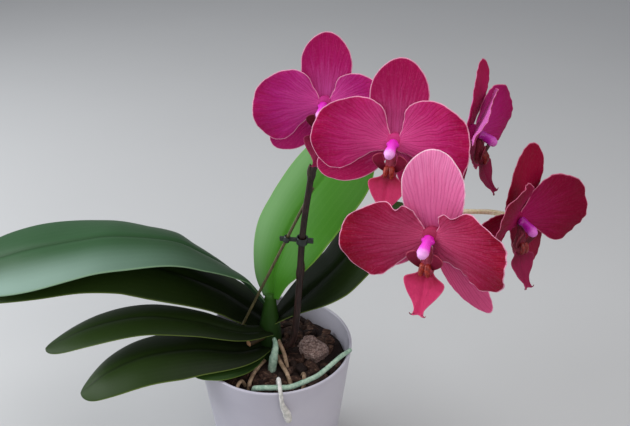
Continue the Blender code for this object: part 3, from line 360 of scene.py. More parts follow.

# A leaf has its dark part, its body, the pale lines, its edge and its underside. The dark part is painted
# shade near the stem and along the midrib, and the edge is painted light along the thin rim. The shaded set
# is painted darker for the leaves that lie in shade, and the backlit set is painted brighter for the leaf
# that light shines through
LEAF_COLOURS = {
    "leaf_dark": ((18, 26, 10), (44, 64, 24), (50, 70, 32), (112, 132, 58), (36, 40, 18)),
    "leaf_broad": ((30, 56, 28), (48, 80, 50), (72, 104, 74), (120, 148, 112), (34, 46, 24)),
    "leaf_bright_green": ((60, 116, 30), (60, 112, 32), (96, 146, 64), (130, 168, 72), (60, 100, 34)),
    "leaf_small": ((30, 52, 18), (70, 108, 40), (80, 110, 50), (120, 144, 64), (36, 50, 20)),
    "sheath_green": ((22, 38, 14), (70, 124, 40), (50, 76, 36), (96, 116, 50), (24, 42, 16)),
}
# Leaves not listed take the shaded set, whose darkness is painted shade; leaf_right_1's backlit set is
# painted light
LEAF_LOOKS = {"leaf_left_1": "leaf_broad", "leaf_left_5": "leaf_small", "leaf_right_1": "leaf_bright_green"}

# A painted sheen on one side of a leaf: a pale film that stands for the reflection of the window light. It
# has its colour and share, and where it starts and where it is full, across the leaf and along it
PaintedSheen = namedtuple("PaintedSheen", "colour share side reach")
LEAF_PAINTED_SHEEN = {
    "leaf_broad": PaintedSheen((160, 186, 176), 0.55, (-0.20, -0.90), (0.02, 0.28)),
    "leaf_bright_green": PaintedSheen((146, 180, 136), 0.30, (-0.1, -0.8), (-1, 0)),
}

# The studio: a light has its place, its size, its power and its colour
FLOOR_HALF = 6.0
FLOOR_GREYS = ((0.50, 0.50, 0.50, 1.0), (0.53, 0.53, 0.53, 1.0))
SKY_COLOUR = (0.90, 0.93, 1.0, 1.0)
SKY_STRENGTH = 0.33
LIGHT_TARGET = (0.0, -0.06, 0.25)
LIGHTS = {
    "window": ((-1.25, 0.10, 0.80), (1.3, 1.2), 21.0, (0.93, 0.97, 1.0)),
    "fill": ((0.5, -1.3, 1.3), (1.4, 1.0), 9.5, (1.0, 0.96, 0.92)),
    "top": ((0.1, 0.0, 1.7), (1.2, 1.2), 10.0, (1.0, 1.0, 1.0)),
    "glow": ((0.9, -0.5, 0.15), (0.6, 0.3), 0.5, (1.0, 0.80, 0.62)),
}


def linear(colour):
    """Three screen values as a linear colour with alpha. A socket or a colour with alpha stays as it is."""
    if not isinstance(colour, tuple) or len(colour) == 4:
        return colour
    shares = [value / 255 for value in colour]
    return (*(s / 12.92 if s <= 0.04045 else ((s + 0.055) / 1.055) ** 2.4 for s in shares), 1.0)


class Look:
    """A material built node by node. Its methods take sockets or plain values, and give sockets."""

    def __init__(self, name, **constants):
        self.material = bpy.data.materials.new(name)
        self.material.use_nodes = True
        self.nodes = self.material.node_tree.nodes
        self.shader = self.nodes["Principled BSDF"]
        self.here = self.place((1.0, 1.0, 1.0))
        for key, value in constants.items():
            self.shader.inputs[key.replace("_", " ")].default_value = value

    def plug(self, socket, value):
        if isinstance(value, bpy.types.NodeSocket):
            self.material.node_tree.links.new(value, socket)
        else:
            socket.default_value = value

    def node(self, kind, inputs, **settings):
        made = self.nodes.new("ShaderNode" + kind)
        for key, value in settings.items():
            setattr(made, key, value)
        for key, value in inputs.items():
            self.plug(made.inputs[key], value)
        return made

    def math(self, operation, *values):
        return self.node("Math", dict(enumerate(values)), operation=operation).outputs[0]

    def add(self, first, second):
        return self.math("ADD", first, second)

    def less(self, first, second):
        return self.math("SUBTRACT", first, second)

    def times(self, first, second):
        return self.math("MULTIPLY", first, second)

    def marks(self):
        """The three numbers that a piece carries at each point."""
        vector = self.node("Attribute", {}, attribute_name="marks").outputs["Vector"]
        return self.node("SeparateXYZ", {0: vector}).outputs

    def place(self, stretch):
        """The point in metres, with each axis stretched by its own factor."""
        vector = self.node("TexCoord", {}).outputs["Object"]
        return self.node("Mapping", {"Vector": vector, "Scale": stretch}).outputs[0]

    def noise(self, scale, detail=3.0, rough=0.5, place=None):
        inputs = {"Vector": place or self.here, "Scale": scale, "Detail": detail, "Roughness": rough}
        return self.node("TexNoise", inputs).outputs["Fac"]

    def cells(self, scale):
        inputs = {"Vector": self.here, "Scale": scale}
        return self.node("TexVoronoi", inputs, feature="DISTANCE_TO_EDGE").outputs["Distance"]

    def step(self, value, low, high):
        """0 below low and 1 above high, with a smooth change between; low may be the larger one."""
        inputs = {"Value": value, 1: low, 2: high}
        return self.node("MapRange", inputs, interpolation_type="SMOOTHSTEP").outputs[0]

    def scale(self, value, low, high):
        """A value from 0 to 1 moved to between low and high."""
        return self.node("MapRange", {"Value": value, 3: low, 4: high}).outputs[0]

    def ramp(self, value, *stops):
        made = self.node("ValToRGB", {0: value})
        elements = made.color_ramp.elements
        while len(elements) < len(stops):
            elements.new(0.5)
        for element, (place, colour) in zip(elements, stops):
            element.position = place
            element.color = linear(colour)
        return made.outputs[0]

    def mix(self, share, first, second):
        made = self.node("Mix", {0: share, 6: linear(first), 7: linear(second)}, data_type="RGBA")
        return made.outputs[2]

    def tint(self, colour, where, other, strength):
        """A colour with another over it where the value is 1, at no more than the given strength."""
        return self.mix(self.times(where, strength), colour, other)

    def finish(self, colour, height=None, depth=0.0001, roughness=None):
        self.plug(self.shader.inputs["Base Color"], colour)
        if height is not None:
            bump = self.node("Bump", {"Height": height, "Distance": depth})
            self.plug(self.shader.inputs["Normal"], bump.outputs[0])
        if roughness is not None:
            self.plug(self.shader.inputs["Roughness"], roughness)
        return self.material


def tepal_look(name, tones, edge, vein, vein_share, heart_reach=0.55, back=0.0, wander=0.16):
    """A petal: marks are along and across from its base, and its distance from the rim.

    The veins fan out from a point that lies back from the base, and wander a little.
    """
    heart, body, deep = tones
    look = Look(name, Roughness=0.60, Specular_IOR_Level=0.06)
    along, across, inside = look.marks()
    reach = look.math("SQRT", look.add(look.math("POWER", along, 2.0), look.math("POWER", across, 2.0)))
    drift = look.times(look.noise(90.0, 2.0), wander)
    angle = look.math("ARCTAN2", across, look.add(along, back))
    angle = look.math("MULTIPLY_ADD", angle, 1 + 2 * back, drift)
    fan_place = look.node("CombineXYZ", {0: look.times(angle, 5.0), 1: reach}).outputs[0]
    veins = 0.0
    for count, near, full in ((44.0, 0.02, 0.12), (88.0, 0.34, 0.50), (176.0, 0.66, 0.84)):
        line = look.math("MULTIPLY_ADD", look.math("COSINE", look.times(angle, count)), 0.5, 0.5)
        line = look.times(look.math("POWER", line, 9.0), look.step(reach, near, full))
        veins = look.math("MAXIMUM", veins, line)
    tone = look.add(reach, look.scale(look.noise(2.6, 3.0, 0.6, fan_place), -0.34, 0.34))
    tone = look.add(tone, look.scale(look.noise(9.0, 2.0, 0.6, fan_place), -0.10, 0.10))
    middle = tuple(0.5 * (a + b) for a, b in zip(linear(heart), linear(body)))
    colour = look.ramp(tone, (0.04, heart), (0.45 * heart_reach, middle), (heart_reach, body), (0.92, deep))
    colour = look.tint(colour, veins, vein, vein_share)
    colour = look.mix(look.scale(look.noise(900.0, 2.0), -0.09, 0.09), colour, edge)
    colour = look.tint(colour, look.step(inside, 0.17, 0.05), edge, 0.85)
    return look.finish(colour, look.less(look.noise(1400.0, 1.0), veins))


def leaf_look(name):
    """A leaf, which goes from dark to its body's colour towards its tip; the dark near the stem is painted
    shade.

    Marks are across it from -1 to 1, along it in metres, and 1 on its upper face.
    """
    dark, body, pale, edge, under = LEAF_COLOURS[name]
    painted_sheen = LEAF_PAINTED_SHEEN.get(name)
    look = Look(name, Specular_IOR_Level=0.10)
    across, along, upper = look.marks()
    away = look.math("ABSOLUTE", across)
    drift = look.times(look.noise(14.0, 2.0), 1.6)
    lines = look.math("SINE", look.add(look.times(across, 46.0), drift))
    cloud = look.noise(20.0)
    # Darker towards the stem: painted shade where the leaves above and the crown shade it
    colour = look.mix(look.add(look.step(along, 0.01, 0.19), look.scale(cloud, -0.2, 0.2)), dark, body)
    colour = look.tint(colour, look.step(lines, 0.2, 1.0), pale, 0.06)
    # Painted reflection: a pale film on one side of the leaf, standing for the window light's sheen
    if painted_sheen:
        sheen_mask = look.times(look.step(across, *painted_sheen.side), look.step(along, *painted_sheen.reach))
        colour = look.tint(colour, sheen_mask, painted_sheen.colour, painted_sheen.share)
    # Darker along the midrib: painted shade in its groove
    colour = look.tint(colour, look.step(away, 0.09, 0.0), dark, 0.55)
    # A brighter rim: painted light shining through and glancing off the thin edge
    colour = look.tint(colour, look.step(away, 0.955, 1.0), edge, 0.70)
    below = look.mix(look.step(cloud, 0.3, 0.7), under, pale)
    colour = look.mix(look.step(upper, 0.6, 0.4), colour, below)
    height = look.add(look.times(lines, 0.10), look.noise(500.0, 2.0))
    return look.finish(colour, height, 0.00007, look.scale(look.noise(60.0), 0.36, 0.48))


def root_look(name, body, pale, stain, stain_share):
    """A root's uneven skin, with stains in spots."""
    look = Look(name, Specular_IOR_Level=0.3)
    colour = look.mix(look.step(look.noise(240.0, 4.0, 0.6), 0.35, 0.68), body, pale)
    spots = look.step(look.noise(420.0, 3.0, 0.7), 0.60, 0.72)
    colour = look.tint(colour, spots, stain, stain_share)
    return look.finish(colour, look.noise(1500.0), 0.00014, look.scale(look.noise(200.0), 0.48, 0.72))


def bark_look(name, dark, body, pale):
    """Bark: the first mark is the chip's own tone, from 0 to 1."""
    look = Look(name, Specular_IOR_Level=0.25)
    layers = look.noise(330.0, 5.0, 0.65, look.place((1.0, 1.0, 4.0)))
    colour = look.ramp(layers, (0.32, dark), (0.52, body), (0.72, pale))
    colour = look.mix(look.step(look.marks()[0], 0.0, 1.0), dark, colour)
    cracks = look.step(look.cells(260.0), 0.05, 0.0)
    colour = look.tint(colour, cracks, dark, 0.7)
    height = look.less(layers, look.times(cracks, 0.5))
    return look.finish(colour, height, 0.0005, look.scale(look.noise(90.0), 0.72, 0.95))


def plastic_look(name, body, shade):
    """The pot's satin plastic, with a faint cloud and a fine moulded grain."""
    look = Look(name, Specular_IOR_Level=0.45)
    colour = look.mix(look.step(look.noise(18.0), 0.25, 0.8), body, shade)
    scuffs = look.noise(420.0, 2.0, place=look.place((1.0, 1.0, 0.25)))
    colour = look.tint(colour, look.step(scuffs, 0.70, 0.80), shade, 0.10)
    return look.finish(colour, look.noise(2600.0, 2.0), 0.00004, look.scale(look.noise(40.0), 0.36, 0.50))


def stem_look(name, body, pale, stain):
    """A stem's skin, with streaks along it and stains in spots."""
    look = Look(name, Specular_IOR_Level=0.25)
    streaks = look.noise(150.0, place=look.place((6.0, 6.0, 0.7)))
    colour = look.mix(look.step(streaks, 0.36, 0.66), body, pale)
    colour = look.mix(look.step(look.noise(300.0), 0.58, 0.70), colour, stain)
    height = look.add(streaks, look.times(look.noise(900.0), 0.3))
    return look.finish(colour, height, 0.00012, look.scale(look.noise(80.0), 0.32, 0.50))


def column_look(name, root, middle, cap):
    """The column: marks are the share of its length, from root to cap, and how deep its hollow is."""
    look = Look(name, Roughness=0.40, Specular_IOR_Level=0.35)
    share, hollow, _ = look.marks()
    tone = look.add(share, look.scale(look.noise(500.0), -0.06, 0.06))
    colour = look.ramp(tone, (0.05, root), (0.70, middle), (0.98, cap))
    colour = look.mix(look.step(hollow, 0.25, 0.8), colour, COLUMN_HOLLOW)
    return look.finish(colour, look.noise(1200.0, 1.0), 0.00005)


def lip_look(name, tones, line_count):
    """A lobe of the lip: marks are along and across, and the distance from the rim."""
    body, deep, edge = tones
    look = Look(name, Roughness=0.50, Specular_IOR_Level=0.14)
    along, across, inside = look.marks()
    drift = look.times(look.noise(200.0, 2.0), 0.05)
    lines = look.math("SINE", look.times(look.add(across, drift), line_count))
    tone = look.add(along, look.scale(look.noise(220.0), -0.10, 0.10))
    colour = look.ramp(tone, (0.0, deep), (0.22, body), (0.55, body))
    colour = look.tint(colour, look.step(lines, 0.3, 1.0), deep, 0.30)
    colour = look.tint(colour, look.step(inside, 0.20, 0.02), edge, 0.6)
    return look.finish(colour, look.less(look.noise(900.0, 2.0), look.times(lines, 0.4)))


def plain_look(name, body, pale, roughness, scale):
    """A fine mottled finish for the small pieces."""
    look = Look(name, Roughness=roughness, Specular_IOR_Level=0.45)
    colour = look.mix(look.step(look.noise(scale, 4.0), 0.34, 0.70), body, pale)
    return look.finish(colour, look.noise(4.0 * scale, 2.0), 0.00008)


def catmull_rom(before, start, end, after, t):
    """The point at t, from 0 to 1, between start and end on a Catmull-Rom curve."""
    return 0.5 * (
        2 * start
        + (end - before) * t
        + (2 * before - 5 * start + 4 * end - after) * t**2
        + (3 * start - before - 3 * end + after) * t**3
    )


def sampled(rows, known, wanted):
    """Rows of numbers that belong to known places, at the wanted places between them."""
    return np.stack([np.interp(wanted, known, column) for column in rows.T], axis=1)


def path_steps(points):
    return np.linalg.norm(np.diff(np.array(points), axis=0), axis=1)


def evenly_spaced(points, count):
    """count points at equal distances along a line of many points."""
    along = np.concatenate([[0.0], np.cumsum(path_steps(points))])
    return sampled(points, along, np.linspace(0.0, along[-1], count))


def smooth_path(points, count):
    """count evenly spaced points on a smooth open curve through the given points."""
    p = np.array(points, float)
    ends = np.vstack([2 * p[0] - p[1], p, 2 * p[-1] - p[-2]])
    fine = [
        catmull_rom(*ends[i : i + 4], t)
        for i in range(len(p) - 1)
        for t in np.linspace(0, 1, 24, endpoint=False)
    ]
    return evenly_spaced(np.array(fine + [p[-1]]), count)


def closed_outline(points, count):
    """count evenly spaced points on a smooth closed curve through the given points."""
    p = np.array(points, float)
    n = len(p)
    fine = [
        catmull_rom(p[i - 1], p[i], p[(i + 1) % n], p[(i + 2) % n], t)
        for i in range(n)
        for t in np.linspace(0, 1, 16, endpoint=False)
    ]
    return evenly_spaced(np.array(fine + [fine[0]]), count + 1)[:-1]


def mirrored(outline):
    """A whole outline from its right half, which starts and ends on the middle line."""
    return outline + [(-x, y) for x, y in reversed(outline[1:-1])]


def unit_rows(vectors):
    return vectors / np.linalg.norm(vectors, axis=-1, keepdims=True)


def turned(points, angle, axis):
    """Points turned by an angle in degrees about an axis through the origin."""
    return points @ np.array(Matrix.Rotation(math.radians(angle), 3, axis)).T


def placed(points, matrix):
    m = np.array(matrix)
    return np.asarray(points, float) @ m[:3, :3].T + m[:3, 3]


def rough(points, scale, seed=0.0):
    """Smooth noise from about -1 to 1 at each point; scale is how many features fit in a metre."""
    return np.array([noise.noise(Vector(p) * scale + Vector((seed, seed, seed))) for p in points])


def hump(values, centre, width):
    """1 at the centre, and falling smoothly to nearly 0 at twice the width."""
    return np.exp(-(((values - centre) / width) ** 2))


def angles_round(sides):
    return 2 * np.pi * np.arange(sides) / sides


def linked(name, data):
    """A new object in the scene."""
    obj = bpy.data.objects.new(name, data)
    bpy.context.scene.collection.objects.link(obj)
    return obj


def make_piece(name, shells, looks, node, matrix=Matrix()):
    """One piece made of closed shells. It rides on the part, and stands for a CAD node.

    A shell has its points, its faces, the marks of all its points or of each one, and, where it isn't
    the first material, the material's number for all its faces or for each one.
    """
    points, faces, marks, numbers = [], [], [], []
    count = 0
    for shell_points, shell_faces, shell_marks, *number in shells:
        faces += [tuple(i + count for i in face) for face in shell_faces]
        points.append(placed(shell_points, matrix))
        marks.append(np.broadcast_to(np.asarray(shell_marks, float), (len(shell_points), 3)))
        numbers += np.broadcast_to(number[0] if number else 0, len(shell_faces)).tolist()
        count += len(shell_points)
    mesh = bpy.data.meshes.new(name)
    mesh.from_pydata(np.vstack(points).tolist(), [], faces)
    mesh.polygons.foreach_set("material_index", numbers)
    work = bmesh.new()
    work.from_mesh(mesh)
    bmesh.ops.recalc_face_normals(work, faces=work.faces)
    work.to_mesh(mesh)
    work.free()
    mesh.shade_smooth()
    for look in looks:
        mesh.materials.append(look)
    kept = mesh.attributes.new("marks", "FLOAT_VECTOR", "POINT")
    kept.data.foreach_set("vector", np.vstack(marks).ravel())
    obj = linked(name, mesh)
    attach(obj, "root")
    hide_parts(node)


def ring_numbers(rings, sides, first=0):
    """The numbers of the points in each of several rings that follow one another."""
    return first + np.arange(rings * sides).reshape(rings, sides)


def join_rings(numbers):
    """Quads between each ring of point numbers and the next."""
    quads = []
    for low, high in zip(numbers, numbers[1:]):
        quads += np.stack([low, np.roll(low, -1), np.roll(high, -1), high], axis=1).tolist()
    return quads


def fan(ring, tip):
    """Triangles from a ring of point numbers to the number of one point."""
    return [(a, b, tip) for a, b in zip(ring.tolist(), np.roll(ring, -1).tolist())]


def closed_shell(rings, first, last):
    """The points and faces of a shell of rings, closed by one point before them and one after."""
    points = np.vstack([*rings, first, last])
    numbers = ring_numbers(len(rings), len(rings[0]))
    ends = fan(numbers[0], len(points) - 2) + fan(numbers[-1], len(points) - 1)
    return points, join_rings(numbers) + ends


def circle(radius, height, sides):
    """A level ring of points about Z."""
    angles = angles_round(sides)
    return np.column_stack([radius * np.cos(angles), radius * np.sin(angles), np.full(sides, height)])


def turned_solid(profile, sides, marks=NO_MARKS):
    """A closed solid turned about Z from (radius, height) pairs, which run from the bottom up."""
    rings = [circle(radius, height, sides) for radius, height in profile]
    return *closed_shell(rings, (0, 0, profile[0][1]), (0, 0, profile[-1][1])), marks


def spokes_round(path, sides):
    """The tangent at each point of a path, and the unit spokes round it, without twist."""
    tangents = unit_rows(np.gradient(path, axis=0))
    side = Vector(tangents[0]).orthogonal().normalized()
    across = []
    for tangent in tangents:
        axis = Vector(tangent)
        side = (side - axis * side.dot(axis)).normalized()
        across.append(side.copy())
    across = np.array(across)[:, None]
    other = np.cross(tangents[:, None], across)
    angles = angles_round(sides)[None, :, None]
    return tangents, np.cos(angles) * across + np.sin(angles) * other


def tube(path, radii, sides, ends=(1.0, 1.0)):
    """A closed tube with domed ends. radii is one for each point, or one for each point and side.

    Its marks are the share of its length and the angle round it.
    """
    path = np.asarray(path, float)
    radii = np.asarray(radii, float)
    if radii.ndim == 1:
        radii = np.repeat(radii[:, None], sides, axis=1)
    tangents, spokes = spokes_round(path, sides)
    domes, tips = [], []
    for end, sign in ((0, -1), (-1, 1)):
        out = sign * tangents[end] * radii[end].mean() * ends[end]
        rim = spokes[end] * radii[end][:, None]
        domes.append([path[end] + out * math.sin(angle) + rim * math.cos(angle) for angle in DOME])
        tips.append(path[end] + out)
    rings = [*domes[0][::-1], *(path[:, None] + spokes * radii[:, :, None]), *domes[1]]
    points, faces = closed_shell(rings, *tips)
    shares = np.concatenate([np.zeros(len(DOME)), np.linspace(0, 1, len(path)), np.ones(len(DOME))])
    marks = np.zeros((len(points), 3))
    marks[:, 0] = np.concatenate([np.repeat(shares, sides), [0.0, 1.0]])
    marks[:-2, 1] = np.tile(angles_round(sides), len(rings))
    return points, faces, marks


def blade(outline, count, shares, surface, thickness, axes=(1, 0), slots=(0, 0), relief=None,
          ragged=0.0, seed=0.0):
    """A thin closed solid with a rounded rim over a flat outline, bent by surface.

    shares are the rings' distances from the middle to the outline, the last being 1. axes are the flat
    axes that run along and across it, slots are the materials of its front and its back, and ragged is
    how far the rim is nibbled in, as a share.
    """
    rim = closed_outline(outline, count)
    middle = rim.mean(axis=0)
    if ragged:
        level = np.column_stack([rim, np.zeros(count)])
        nibbles = rough(level, 190, seed) + 0.45 * rough(level, 480, seed + 5)
        rim = middle + (rim - middle) * (1 - ragged * np.clip(0.5 + nibbles, 0, 1.4))[:, None]
    flat = np.vstack([middle, *(middle + s * (rim - middle) for s in shares)])
    share = np.concatenate([[0.0], np.repeat(shares, count)])
    place = np.concatenate([[0.0], np.tile(np.arange(count) / count, len(shares))])
    step = 1e-4
    centre = surface(flat, share, place)
    across = surface(flat + (step, 0), share, place) - centre
    along = surface(flat + (0, step), share, place) - centre
    normal = unit_rows(np.cross(across, along))
    if relief is not None:
        centre = centre + normal * relief(flat, share, place)[:, None]
    thick, edge = thickness
    closing = np.clip(share - ROUNDED_FROM, 0, None) / (1 - ROUNDED_FROM)
    closing = np.sqrt(np.clip(1 - closing**2, 0, 1))
    half = (0.5 * (thick + (edge - thick) * share**2) * closing)[:, None] * normal
    inner = len(flat) - count
    points = np.vstack([centre + half, (centre - half)[:inner]])
    front_rings = ring_numbers(len(shares), count, 1)
    back_rings = ring_numbers(len(shares) - 1, count, len(flat) + 1)
    front = fan(front_rings[0], 0) + join_rings(front_rings)
    back = fan(back_rings[0], len(flat)) + join_rings([*back_rings, front_rings[-1]])
    flat = np.vstack([flat, flat[:inner]])
    inside = np.linalg.norm(flat[:, None] - rim[None], axis=2).min(axis=1) / RIM_BAND
    marks = np.column_stack([flat[:, list(axes)] / MARK_REACH, np.clip(inside, 0, 1)])
    return points, front + back, marks, [slots[0]] * len(front) + [slots[1]] * len(back)


def petal_surface(bloom, side, ridge, curl):
    """How a petal bends: side is 1 for the right one and -1 for the left one."""
    index = (side + 1) // 2
    length, above, below = bloom.stretch[index]

    def surface(flat, share, place):
        x = flat[:, 0] * length
        lower = below * (1 + bloom.flare[index] * hump(flat[:, 0], 0, PETAL_FLARE_REACH))
        y = flat[:, 1] * np.where(flat[:, 1] > 0, above, lower)
        reach = x / PETAL_REACH
        z = PETAL_BELLY * reach * (1 - reach) - PETAL_ROLL * reach**2 * (y / PETAL_HALF) ** 2
        z = z + bloom.wave * share**4 * np.sin(2 * math.pi * (PETAL_WAVES * place + 0.15))
        z = z - ridge * (np.hypot(y, RIDGE_ROUND) - RIDGE_ROUND) * np.clip(reach * 2, 0, 1)
        if curl is not None:
            near = hump(flat[:, 0], curl[0], CURL_HALF[0]) * hump(flat[:, 1], curl[1], CURL_HALF[1])
            z = z + CURL_FORWARD * near
            y = y - CURL_DOWN * near
        points = turned(np.stack([x, y, z], axis=1), bloom.twist[index], "X")
        points = turned(points, bloom.lift[index], "Z")
        points = turned(points, -bloom.cup[index], "Y")
        points[:, 0] *= side
        points[:, 2] += PETAL_DEPTH
        return points

    return surface


def sepal_surface(spin, lean, girth):
    """How a sepal bends. It points up before it is turned by spin, anticlockwise from the front."""

    def surface(flat, share, place):
        x, y = flat[:, 0] * girth, flat[:, 1]
        arch = np.sin(math.pi * np.clip(y / SEPAL_REACH, 0, 1))
        z = SEPAL_DISH * (x / SEPAL_HALF) ** 2 + SEPAL_BELLY * arch
        points = turned(np.stack([x, y, z], axis=1), lean, "X")
        points = turned(points, spin, "Z")
        points[:, 2] += SEPAL_DEPTH
        return points

    return surface


def midlobe_surface(flat, share, place):
    """The lip's middle lobe runs out and down, with its sides raised and its tip hooked forwards."""
    x, y = flat[:, 0], flat[:, 1]
    along = np.clip(y / LIP_LENGTH, 0, 1.05)
    z = LIP_DISH * (x / LIP_HALF) ** 2 + LIP_HOOK * along**3
    return turned(np.stack([x, -y, z], axis=1), -LIP_FORWARD, "X") + LIP_NECK


def sidelobe_surface(side):
    """A side lobe of the lip stands up beside the column, opens forwards, and curls in at the top."""

    def surface(flat, share, place):
        x, y = flat[:, 0], flat[:, 1]
        bow = SIDELOBE_BOW * np.sin(0.72 * math.pi * np.clip(y / SIDELOBE_REACH, 0, 1))
        out = SIDELOBE_FOOT[0] + bow + SIDELOBE_OPEN * x
        depth = SIDELOBE_FOOT[2] + 0.25 * y + (1 - SIDELOBE_OPEN) * x
        return np.stack([side * out, SIDELOBE_FOOT[1] + SIDELOBE_RISE * y, depth], axis=1)

    return surface


def vein_relief(axes, crinkle, seed):
    """Raised veins that fan out from the base, a soft unevenness, and fine crinkles at the rim."""

    def relief(flat, share, place):
        along, across = flat[:, axes[0]], flat[:, axes[1]]
        angle = np.arctan2(across, along + 0.001)
        reach = np.hypot(along, across) / MARK_REACH
        veins = np.cos(angle * 44) ** 8 * np.clip(reach * 3, 0, 1)
        veins = veins + np.cos(angle * 88) ** 8 * np.clip((reach - 0.4) * 4, 0, 1)
        soft = rough(np.column_stack([flat, np.full(len(flat), 0.01 * seed)]), 130, seed)
        rim = share**10 * np.sin(2 * math.pi * 17 * place + 2.2 * np.sin(2 * math.pi * 3 * place + seed))
        return 0.00007 * veins + 0.00032 * soft * share + crinkle * rim

    return relief


def keel_relief(flat, share, place):
    """The lip's middle lobe has a low keel, and a rim with seven shallow waves."""
    keel = hump(flat[:, 0], 0, 0.0012) * np.clip(flat[:, 1] / 0.006, 0, 1)
    return 0.00045 * keel - 0.00025 * share**6 * np.cos(2 * math.pi * 7 * place)


def bloom_matrix(bloom):
    """The bloom's frame: x to the viewer's right, y up, z out of its face."""
    turn, nod = math.radians(bloom.turn), math.radians(bloom.nod)
    face = Vector((math.sin(turn) * math.cos(nod), -math.cos(turn) * math.cos(nod), -math.sin(nod)))
    up = (Vector((0, 0, 1)) - face * face.z).normalized()
    up.rotate(Matrix.Rotation(math.radians(-bloom.roll), 3, face))
    turned_axes = Matrix((up.cross(face), up, face)).transposed()
    return Matrix.Translation(bloom.centre) @ turned_axes.to_4x4()


def make_tepals(bloom, looks):
    """Two petals and three sepals on a small domed hub."""
    number = int(bloom.name[-1])
    ridges = PETAL_RIDGES.get(bloom.name, PLAIN_RIDGES)
    curls = PETAL_CURLS.get(bloom.name, (None, None))
    crinkle = PETAL_CRINKLES.get(bloom.name, PLAIN_CRINKLE)
    shells = []
    for index, side in enumerate((-1, 1)):
        seed = number + 0.37 * index
        surface = petal_surface(bloom, side, ridges[index], curls[index])
        relief = vein_relief((0, 1), crinkle, seed)
        # The left petal is mirrored, which turns its front into its back
        slots = (PETAL, BACK) if side == 1 else (BACK, PETAL)
        shells.append(blade(PETAL_OUTLINE, PETAL_POINTS, BLADE_SHARES, surface, TEPAL_THICKNESS, (0, 1),
                            slots, relief, PETAL_RAGGED, seed))
    sepals = (
        (DORSAL_OUTLINE, UPPER_SEPAL, 0, bloom.lean, bloom.girth[0]),
        (LATERAL_OUTLINE, LOWER_SEPAL, bloom.splay[0], LATERAL_LEAN, bloom.girth[1]),
        (LATERAL_OUTLINE, LOWER_SEPAL, -bloom.splay[1], LATERAL_LEAN, bloom.girth[2]),
    )
    for index, (outline, front, *bend) in enumerate(sepals):
        seed = 10 + number + 0.37 * index
        relief = vein_relief((1, 0), SEPAL_CRINKLE, seed)
        shells.append(blade(mirrored(outline), SEPAL_POINTS, BLADE_SHARES, sepal_surface(*bend),
                            TEPAL_THICKNESS, (1, 0), (front, BACK), relief, SEPAL_RAGGED, seed))
    shells.append(turned_solid(HUB_PROFILE, 28, (0.4, 0, 1)))
    make_piece(f"{bloom.name}_petals_and_sepals", shells, looks, f"{bloom.name}_tepals",
               bloom_matrix(bloom))


def callus_horn(side):
    """One of the two blunt humps where the lobes of the lip meet."""
    offsets = ((side * 0.0012, 0.0026, 0.0026), (side * 0.0015, 0.0006, 0.0038),
               (side * 0.0018, -0.0016, 0.0036))
    path = smooth_path(np.array(LIP_NECK) + offsets, 12)
    return tube(path, np.linspace(0.0017, 0.0011, 12), 14)


def tip_tendril(side):
    """A thin curl at the tip of the middle lobe."""
    start = midlobe_surface(np.array([[side * 0.0022, 0.0222]]), None, None)
    offsets = ((0, 0, 0), (side * 0.0007, -0.0006, 0.0002), (side * 0.0015, -0.0004, 0.0006),
               (side * 0.0020, 0.0004, 0.0007))
    return tube(smooth_path(start + offsets, 20), np.linspace(0.00050, 0.00018, 20), 8)


def make_lip(bloom, looks):
    """The middle lobe with its two tendrils, the side lobes, the two humps of the callus and the foot."""
    shells = [blade(mirrored(MIDLOBE_OUTLINE), MIDLOBE_POINTS, BLADE_SHARES, midlobe_surface,
                    LOBE_THICKNESS, slots=(MIDDLE_LOBE, MIDDLE_LOBE), relief=keel_relief)]
    for side in (-1, 1):
        shells.append(blade(SIDELOBE_OUTLINE, SIDELOBE_POINTS, BLADE_SHARES[::2], sidelobe_surface(side),
                            SIDELOBE_THICKNESS, slots=(SIDE_LOBES, SIDE_LOBES)))
        shells.append((*callus_horn(side), CALLUS))
        shells.append((*tip_tendril(side), TENDRILS))
    foot = smooth_path([(0, -0.0038, HUB_FRONT + GAP + 0.0013), (0, -0.0095, 0.0056), LIP_NECK], 16)
    radii = np.interp(np.linspace(0, 1, 16), (0, 0.5, 1), LIP_FOOT_RADII)
    shells.append((*tube(foot, radii, 20), SIDE_LOBES))
    make_piece(f"{bloom.name}_lip_lobes", shells, looks, f"{bloom.name}_lip", bloom_matrix(bloom))


def make_column(bloom, look):
    """The column: a rounded body with a cap, two shoulders, and the hollow under its tip."""
    rows, sides = 40, 32
    drop = math.radians(COLUMN_DROP)
    start = np.array([0, 0.0002, HUB_FRONT + GAP + 0.35 * COLUMN_RADIUS])
    share = np.linspace(0, 1, rows)
    path = start + share[:, None] * COLUMN_LENGTH * np.array([0, -math.sin(drop), math.cos(drop)])
    path[:, 1] -= 0.0010 * share**2
    profile = np.interp(share, (0, 0.2, 0.45, 0.72, 0.88, 1.0), (0.95, 0.86, 0.88, 1.06, 1.12, 0.86))
    spokes = spokes_round(path, sides)[1]
    under = np.clip(spokes @ unit_rows(np.array([0, -1.0, -0.45])), 0, 1)
    hollow = under**3 * hump(share, 0.80, 0.11)[:, None]
    shoulder = np.abs(spokes[:, :, 0]) ** 6 * hump(share, 0.16, 0.09)[:, None]
    seam = hump(share, 0.74, 0.012)[:, None] * (1 - under)
    radii = COLUMN_RADIUS * (profile[:, None] - 0.42 * hollow + 0.42 * shoulder - 0.05 * seam)
    points, faces, marks = tube(path, radii, sides, (0.35, 0.7))
    first = len(DOME) * sides
    marks[:, 1] = 0
    marks[first : first + rows * sides, 1] = hollow.ravel()
    make_piece(f"{bloom.name}_column_cap", [(points, faces, marks)], [look], f"{bloom.name}_column",
               bloom_matrix(bloom))


